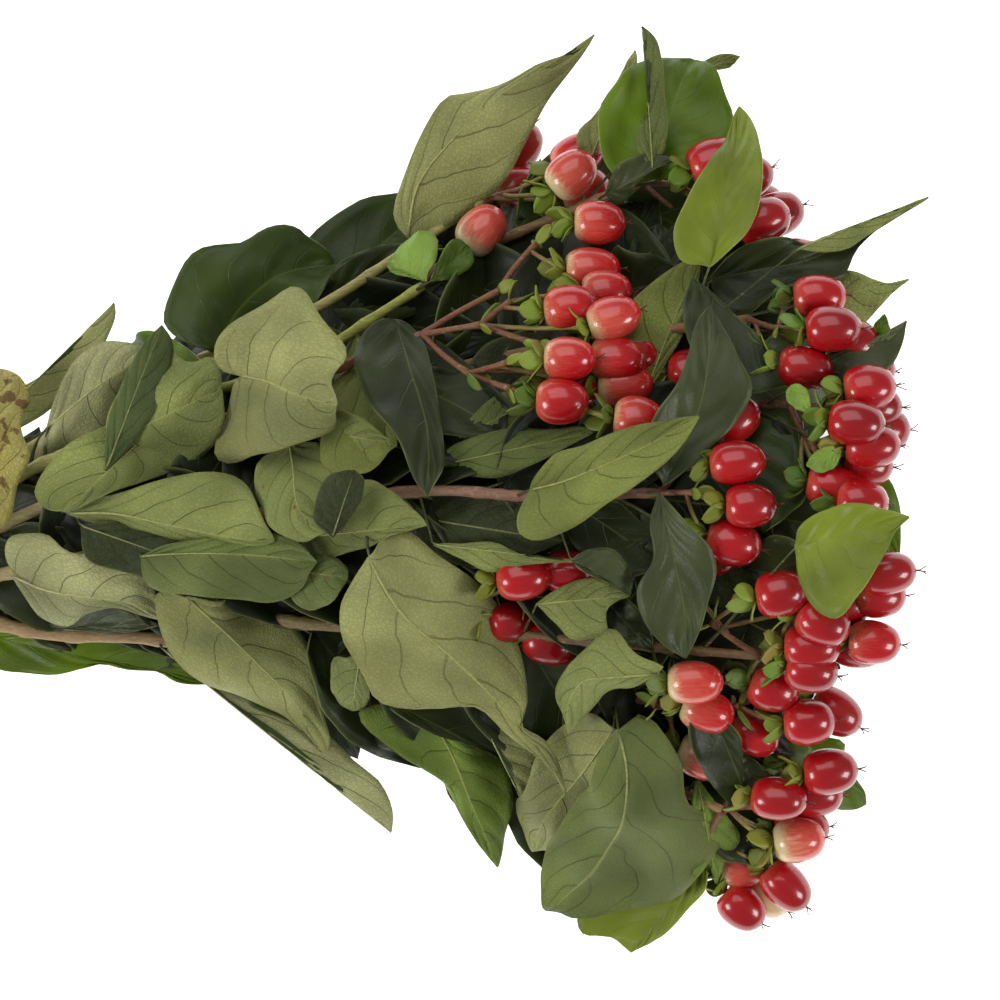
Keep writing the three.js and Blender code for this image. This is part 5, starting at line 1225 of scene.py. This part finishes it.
def berry_skin(colours):
    """Ripe berry: a tight, glossy wax skin, cream at its seat and deep red at its tip, finely streaked."""
    material, tree, shader = surface("hypericum berry, glossy fruit skin", Roughness=0.26, IOR=1.42,
                                     Specular_IOR_Level=0.5, Coat_Weight=0.6, Coat_Roughness=0.09,
                                     Subsurface_Weight=0.12, Subsurface_Scale=0.002)
    shader.inputs["Subsurface Radius"].default_value = (1.0, 0.35, 0.2)
    ripeness = add(tree, "ShaderNodeAttribute", attribute_name="ripeness").outputs["Fac"]
    egg = add(tree, "ShaderNodeAttribute", attribute_name="egg").outputs["Vector"]
    drawn = add(tree, "ShaderNodeMapping", {"Vector": egg, "Scale": (5.0, 5.0, 0.7)}).outputs[0]
    streaks = add(tree, NOISE, {"Vector": drawn, "Scale": 2.2, "Detail": 3.0, "Roughness": 0.6}).outputs[0]
    ripe = add(tree, MATH, {0: streaks, 1: 0.26, 2: ripeness}, operation="MULTIPLY_ADD").outputs[0]
    settled = add(tree, MATH, {0: ripe, 1: 0.13}, operation="SUBTRACT").outputs[0]
    ramp = add(tree, "ShaderNodeValToRGB", {0: settled})
    stops = ((0.0, colours.berry_seat), (0.14, colours.berry_seat), (0.34, colours.berry_blush),
             (0.58, colours.berry_red), (1.0, colours.berry_deep))
    while len(ramp.color_ramp.elements) < len(stops):
        ramp.color_ramp.elements.new(0.5)
    for element, (place, colour) in zip(ramp.color_ramp.elements, stops):
        element.position = place
        element.color = (*colour, 1.0)
    dress(tree, shader, ramp.outputs[0], streaks, 0.12, 0.0002)
    return material


def sepal_skin():
    """Sepals and bracts: thin yellow-green leaf with close, lengthwise veins and a rusty edge."""
    material, tree, shader = surface("hypericum sepal, thin green leaf", Roughness=0.5,
                                     Specular_IOR_Level=0.4)
    tone = add(tree, "ShaderNodeAttribute", attribute_name="sepal_tone").outputs["Color"]
    blade = add(tree, "ShaderNodeUVMap", uv_map="blade").outputs[0]
    place = add(tree, "ShaderNodeSeparateXYZ", {0: blade}).outputs
    ribs = add(tree, "ShaderNodeTexWave", {"Vector": blade, "Scale": 2.2, "Distortion": 1.2, "Detail": 1.0},
               bands_direction="X").outputs[1]
    spots = add(tree, "ShaderNodeTexCoord").outputs["Object"]
    rust = add(tree, NOISE, {"Vector": spots, "Scale": 1 / RUST_SIZE, "Detail": 3.0}).outputs[0]
    shade = add(tree, RANGE, {0: ribs, 1: 0.0, 2: 1.0, 3: 0.95, 4: 1.04}).outputs[0]
    lined = add(tree, "ShaderNodeVectorMath", {0: tone, 3: shade}, operation="SCALE").outputs[0]
    far = add(tree, MATH, {0: place[1], 1: 0.35, 2: rust}, operation="MULTIPLY_ADD").outputs[0]
    rusty = add(tree, RANGE, {0: far, 1: 0.84, 2: 1.05, 3: 0.0, 4: 0.6}).outputs[0]
    colour = add(tree, MIX, {0: rusty, 6: lined, 7: linear("#8a4a2a")}, data_type="RGBA").outputs[2]
    dress(tree, shader, colour, ribs, 0.12, 0.0002)
    return material


def young_bark():
    """Young bark, stalks and dried styles: smooth and satin, streaked lengthwise, with small pale pores."""
    material, tree, shader = surface("hypericum twig, smooth young bark", Roughness=0.52,
                                     Specular_IOR_Level=0.4)
    tone = add(tree, "ShaderNodeAttribute", attribute_name="bark_tone").outputs["Color"]
    spots = add(tree, "ShaderNodeTexCoord").outputs["Object"]
    drawn = add(tree, "ShaderNodeMapping", {"Vector": spots, "Scale": (0.18, 1.0, 1.0)}).outputs[0]
    streaks = add(tree, NOISE, {"Vector": drawn, "Scale": 1 / STREAK_SIZE, "Detail": 3.0}).outputs[0]
    pores = add(tree, NOISE, {"Vector": spots, "Scale": 1 / PORE_SIZE, "Detail": 1.0}).outputs[0]
    shade = add(tree, RANGE, {0: streaks, 1: 0.3, 2: 0.7, 3: 0.72, 4: 1.25}).outputs[0]
    streaked = add(tree, "ShaderNodeVectorMath", {0: tone, 3: shade}, operation="SCALE").outputs[0]
    dot = add(tree, RANGE, {0: pores, 1: 0.66, 2: 0.72, 3: 0.0, 4: 0.35}).outputs[0]
    colour = add(tree, MIX, {0: dot, 6: streaked, 7: linear("#c2b083")}, data_type="RGBA").outputs[2]
    dress(tree, shader, colour, streaks, 0.4, 0.0003)
    return material


def natural_rubber(colours):
    """Unfilled natural rubber: tan, slightly translucent and dull, with the fine grain of its cut edges."""
    material, tree, shader = surface("rubber band, natural latex", Roughness=0.55, IOR=1.52,
                                     Subsurface_Weight=0.1, Subsurface_Scale=0.001)
    spots = add(tree, "ShaderNodeTexCoord").outputs["Object"]
    grain = add(tree, NOISE, {"Vector": spots, "Scale": 1 / GRAIN_SIZE, "Detail": 3.0}).outputs[0]
    cloud = add(tree, NOISE, {"Vector": spots, "Scale": 1 / CLOUD_SIZE, "Detail": 2.0}).outputs[0]
    shade = add(tree, RANGE, {0: cloud, 1: 0.3, 2: 0.7, 3: 0.0, 4: 1.0}).outputs[0]
    light, dark = (*colours.rubber, 1.0), tuple(c * 0.72 for c in colours.rubber) + (1.0,)
    colour = add(tree, MIX, {0: shade, 6: dark, 7: light}, data_type="RGBA").outputs[2]
    dress(tree, shader, colour, grain, 0.35, 0.0001)
    return material


def white_board(colours, glow):
    """A matt white board that glows evenly, but not in an ellipse of painted shade under the bunch's leafy
    part.
    """
    material, tree, shader = surface("white board, matt", Roughness=0.9)
    shader.inputs["Base Color"].default_value = (*colours.floor, 1.0)
    shader.inputs["Emission Color"].default_value = (1.0, 1.0, 1.0, 1.0)
    spots = add(tree, "ShaderNodeTexCoord").outputs["Object"]
    (x, y), (half_x, half_y) = SHADE_CENTRE, SHADE_HALF
    placed = add(tree, "ShaderNodeMapping", {"Vector": spots, "Location": (-x / half_x, -y / half_y, 0),
                                             "Scale": (1 / half_x, 1 / half_y, 0)}).outputs[0]
    away = add(tree, "ShaderNodeVectorMath", {0: placed}, operation="LENGTH").outputs["Value"]
    # painted shade: no glow inside the ellipse
    lit = add(tree, RANGE, {0: away, 1: 0.75, 2: 1.0, 3: 0.0, 4: glow}).outputs[0]
    tree.links.new(lit, shader.inputs["Emission Strength"])
    return material


# ---- what a user would change ----
class HypericumSizes(bpy.types.PropertyGroup):
    stem_radius: FloatProperty(name="Stem radius", description="Radius of a stem where it is cut",
                               default=STEM_R * MM, min=0.0005, unit="LENGTH")
    twig_radius: FloatProperty(name="Twig radius", description="Radius of the twig that carries one berry",
                               default=TWIG_R * MM, min=0.0002, unit="LENGTH")
    leaf_wall: FloatProperty(name="Leaf thickness", description="Thickness of a leaf's blade",
                             default=0.00045, min=0.0001, unit="LENGTH")
    sepal_wall: FloatProperty(name="Sepal thickness", description="Thickness of a sepal",
                              default=0.00035, min=0.0001, unit="LENGTH")
    berry_length: FloatProperty(name="Berry length", description="Length of a berry from seat to tip",
                                default=0.0146, min=0.001, unit="LENGTH")
    berry_width: FloatProperty(name="Berry width", description="Greatest width of a berry",
                               default=0.0123, min=0.001, unit="LENGTH")
    sepal_length: FloatProperty(name="Sepal length", description="Length of a calyx's longest sepal",
                                default=0.0082, min=0.001, unit="LENGTH")
    sepal_width: FloatProperty(name="Sepal width", description="Width of a calyx's widest sepal",
                               default=0.0058, min=0.001, unit="LENGTH")
    band_thickness: FloatProperty(name="Band thickness", description="Thickness of the rubber band's strip",
                                  default=0.00125, min=0.0002, unit="LENGTH")
    band_strand: FloatProperty(name="Band strip width", description="Width of one turn of the rubber band",
                               default=0.0019, min=0.0005, unit="LENGTH")
    leaf_grid: IntProperty(name="Leaf detail", description="Cells along a large leaf", default=38, min=8)


class HypericumColours(bpy.types.PropertyGroup):
    berry_seat: FloatVectorProperty(name="Berry seat", description="Berry colour by its calyx",
                                    subtype="COLOR", default=linear("#e2cc9c")[:3], min=0, max=1)
    berry_blush: FloatVectorProperty(name="Berry blush", description="Berry colour where it turns red",
                                     subtype="COLOR", default=linear("#d25a48")[:3], min=0, max=1)
    berry_red: FloatVectorProperty(name="Berry red", description="Colour of the ripe berry", subtype="COLOR",
                                   default=linear("#bb141b")[:3], min=0, max=1)
    berry_deep: FloatVectorProperty(name="Berry deep red", description="Colour of the ripest skin",
                                    subtype="COLOR", default=linear("#7e0810")[:3], min=0, max=1)
    rubber: FloatVectorProperty(name="Rubber", description="Colour of the rubber band", subtype="COLOR",
                                default=linear(RUBBER)[:3], min=0, max=1)
    floor: FloatVectorProperty(name="Board", description="Colour of the white board", subtype="COLOR",
                               default=linear("#f4f4f2")[:3], min=0, max=1)


class HypericumStage(bpy.types.PropertyGroup):
    lamp_power: FloatProperty(name="Softbox power", description="Power of the left softbox in watts",
                              default=7.0, min=0)
    sky: FloatProperty(name="Room light", description="Strength of the even white light all round",
                       default=0.22, min=0)
    glow: FloatProperty(name="Board glow", description="How brightly the board is lit from below",
                        default=1.0, min=0)


# ---- operators: one for each group of pieces, and the stage ----
class HYPERICUM_OT_wood(bpy.types.Operator):
    """Stems, forks, twigs, leaf stalks and midribs, one piece for each stem"""
    bl_idname = "hypericum.wood"
    bl_label = "Stems and twigs"

    def execute(self, context):
        sizes = context.scene.hypericum_sizes
        bark = young_bark()
        for name in STEMS:
            bm, layers = open_mesh(colours=["bark_tone"])
            add_stem(bm, layers, name, sizes)
            add_forks(bm, layers, name)
            add_twigs(bm, layers, name, sizes)
            add_leaf_stalks(bm, layers, name)
            finish_piece(bm, f"stem_{name}_wood", [bark], f"stem_{name}")
        return {"FINISHED"}


class HYPERICUM_OT_leaves(bpy.types.Operator):
    """Leaves with their two unlike sides, one piece for each stem"""
    bl_idname = "hypericum.leaves"
    bl_label = "Leaves"

    def execute(self, context):
        sizes = context.scene.hypericum_sizes
        skins = [leaf_underside(), leaf_upper_side()]
        for name in STEMS:
            bm, layers = open_mesh(["under_tone", "upper_tone"], ["age"], maps=["blade", "blade_mm"])
            for number, row in leaves_of(name):
                share = 1.0 if row["width"] >= LARGE_LEAF and not row["lower"] else SMALL_GRID
                rows = round(sizes.leaf_grid * share)
                add_blade(bm, layers, row, number, 2 * round(rows * 0.29), rows)
            finish_piece(bm, f"stem_{name}_leaves", skins, f"stem_{name}", sizes.leaf_wall)
        return {"FINISHED"}


class HYPERICUM_OT_berries(bpy.types.Operator):
    """Berries with the dried styles at their tips, one piece of each for each stem"""
    bl_idname = "hypericum.berries"
    bl_label = "Berries"

    def execute(self, context):
        sizes = context.scene.hypericum_sizes
        skin = berry_skin(context.scene.hypericum_colours)
        horn = young_bark()
        for name in STEMS:
            bm, layers = open_mesh(shares=["ripeness"], spots=["egg"])
            tips, tip_layers = open_mesh(colours=["bark_tone"])
            for number, berry in berries_of(name):
                add_berry(bm, layers, number, berry, sizes)
                add_styles(tips, tip_layers, number, berry, sizes)
            finish_piece(bm, f"stem_{name}_berries", [skin], f"stem_{name}")
            finish_piece(tips, f"stem_{name}_styles", [horn], f"stem_{name}")
        return {"FINISHED"}


class HYPERICUM_OT_calyces(bpy.types.Operator):
    """The sepals behind the berries and the bracts at the forks, one piece for each stem"""
    bl_idname = "hypericum.calyces"
    bl_label = "Calyces and bracts"

    def execute(self, context):
        sizes = context.scene.hypericum_sizes
        skin = sepal_skin()
        for name in STEMS:
            bm, layers = open_mesh(["sepal_tone"], maps=["blade"])
            for number, berry in berries_of(name):
                add_calyx(bm, layers, number, berry, sizes)
            add_bracts(bm, layers, name)
            finish_piece(bm, f"stem_{name}_calyces", [skin], f"stem_{name}", sizes.sepal_wall)
        return {"FINISHED"}


class HYPERICUM_OT_rubber_band(bpy.types.Operator):
    """The rubber band, wound three times round the stems"""
    bl_idname = "hypericum.rubber_band"
    bl_label = "Rubber band"

    def execute(self, context):
        sizes = context.scene.hypericum_sizes
        bm, layers = open_mesh(colours=["bark_tone"])
        for middle_x, slant, height in BAND_TURNS:
            add_strand(bm, layers, middle_x, slant, height, sizes)
        rubber = natural_rubber(context.scene.hypericum_colours)
        finish_piece(bm, "rubber_band", [rubber], "tie")
        return {"FINISHED"}


class HYPERICUM_OT_stage(bpy.types.Operator):
    """White board, three softboxes, even room light and the camera that looks straight down"""
    bl_idname = "hypericum.stage"
    bl_label = "Stage"

    def execute(self, context):
        stage = context.scene.hypericum_stage
        bm = bmesh.new()
        bmesh.ops.create_grid(bm, x_segments=1, y_segments=1, size=BOARD_HALF)
        bmesh.ops.translate(bm, verts=bm.verts, vec=(*VIEW_CENTRE, -BOARD_DROP))
        mesh = bpy.data.meshes.new("board")
        bm.to_mesh(mesh)
        bm.free()
        mesh.materials.append(white_board(context.scene.hypericum_colours, stage.glow))
        board = bpy.data.objects.new("board", mesh)
        context.scene.collection.objects.link(board)
        for name in SOFTBOXES:
            add_softbox(context, name, stage.lamp_power)
        world = bpy.data.worlds.new("room")
        world.use_nodes = True
        background = world.node_tree.nodes["Background"]
        background.inputs["Color"].default_value = (1.0, 1.0, 1.0, 1.0)
        background.inputs["Strength"].default_value = stage.sky
        context.scene.world = world
        context.scene.view_settings.view_transform = "Standard"
        add_camera(context)
        return {"FINISHED"}


# ---- stage: metres ----
VIEW_CENTRE = (0.205, 0.016)
VIEW_WIDTH = 0.27  # what the camera sees at the reference height
REFERENCE_HEIGHT = 0.08
CAMERA_RISE = 1.6
SENSOR = 36.0
BOARD_HALF = 3.0
BOARD_DROP = 0.0003  # how far under Z = 0 the board lies
SHADE_CENTRE = (0.215, 0.016)  # the ellipse under the bunch where the board does not glow: painted shade
SHADE_HALF = (0.1, 0.066)
# ---- softboxes: way from the bunch, side length, share of the power ----
SOFTBOXES = {
    "left": ((-1.0, -0.38, 0.66), 0.45, 1.0),
    "right": ((1.0, -0.38, 0.66), 0.45, 1.0),
    "overhead": ((-0.25, 1.0, 1.25), 1.5, 1.7),
}


def add_softbox(context, name, power):
    """A square softbox that points at the bunch."""
    way, size, share = SOFTBOXES[name]
    way = Vector(way)
    lamp = bpy.data.lights.new(f"softbox_{name}", "AREA")
    lamp.shape = "SQUARE"
    lamp.size = size
    lamp.energy = power * share
    box = bpy.data.objects.new(lamp.name, lamp)
    box.location = Vector((*VIEW_CENTRE, REFERENCE_HEIGHT)) + way
    box.rotation_euler = way.to_track_quat("Z", "Y").to_euler()
    context.scene.collection.objects.link(box)


def add_camera(context):
    """The camera, straight above the middle of the view, with the stems to its left."""
    lens = bpy.data.cameras.new("camera")
    lens.sensor_width = SENSOR
    lens.lens = SENSOR * CAMERA_RISE / VIEW_WIDTH
    lens.clip_start = 0.05
    lens.clip_end = 20.0
    camera = bpy.data.objects.new("camera", lens)
    camera.location = (*VIEW_CENTRE, REFERENCE_HEIGHT + CAMERA_RISE)
    context.scene.collection.objects.link(camera)
    context.scene.camera = camera


OPERATORS = (HYPERICUM_OT_stage, HYPERICUM_OT_wood, HYPERICUM_OT_leaves, HYPERICUM_OT_berries,
             HYPERICUM_OT_calyces, HYPERICUM_OT_rubber_band)
GROUPS = {"hypericum_sizes": HypericumSizes, "hypericum_colours": HypericumColours,
          "hypericum_stage": HypericumStage}


class HYPERICUM_PT_bunch(bpy.types.Panel):
    """Sizes and colours of the bunch, and the operators that make its pieces"""
    bl_idname = "HYPERICUM_PT_bunch"
    bl_label = "Hypericum bunch"
    bl_space_type = "VIEW_3D"
    bl_region_type = "UI"
    bl_category = "Hypericum"

    def draw(self, context):
        for group in GROUPS:
            values = getattr(context.scene, group)
            for name in values.bl_rna.properties.keys():
                if name not in ("rna_type", "name"):
                    self.layout.prop(values, name)
        for operator in OPERATORS:
            self.layout.operator(operator.bl_idname)


def register():
    """Registers the groups of values, the operators and the panel."""
    for group, kind in GROUPS.items():
        bpy.utils.register_class(kind)
        setattr(bpy.types.Scene, group, PointerProperty(type=kind))
    for kind in (*OPERATORS, HYPERICUM_PT_bunch):
        bpy.utils.register_class(kind)


def unregister():
    """Takes them away again."""
    for kind in (HYPERICUM_PT_bunch, *reversed(OPERATORS)):
        bpy.utils.unregister_class(kind)
    for group, kind in GROUPS.items():
        delattr(bpy.types.Scene, group)
        bpy.utils.unregister_class(kind)


def main():
    """Registers the classes, then makes the stage and every piece."""
    register()
    bpy.ops.hypericum.stage()
    bpy.ops.hypericum.wood()
    bpy.ops.hypericum.leaves()
    bpy.ops.hypericum.berries()
    bpy.ops.hypericum.calyces()
    bpy.ops.hypericum.rubber_band()


if __name__ == "__main__":
    main()
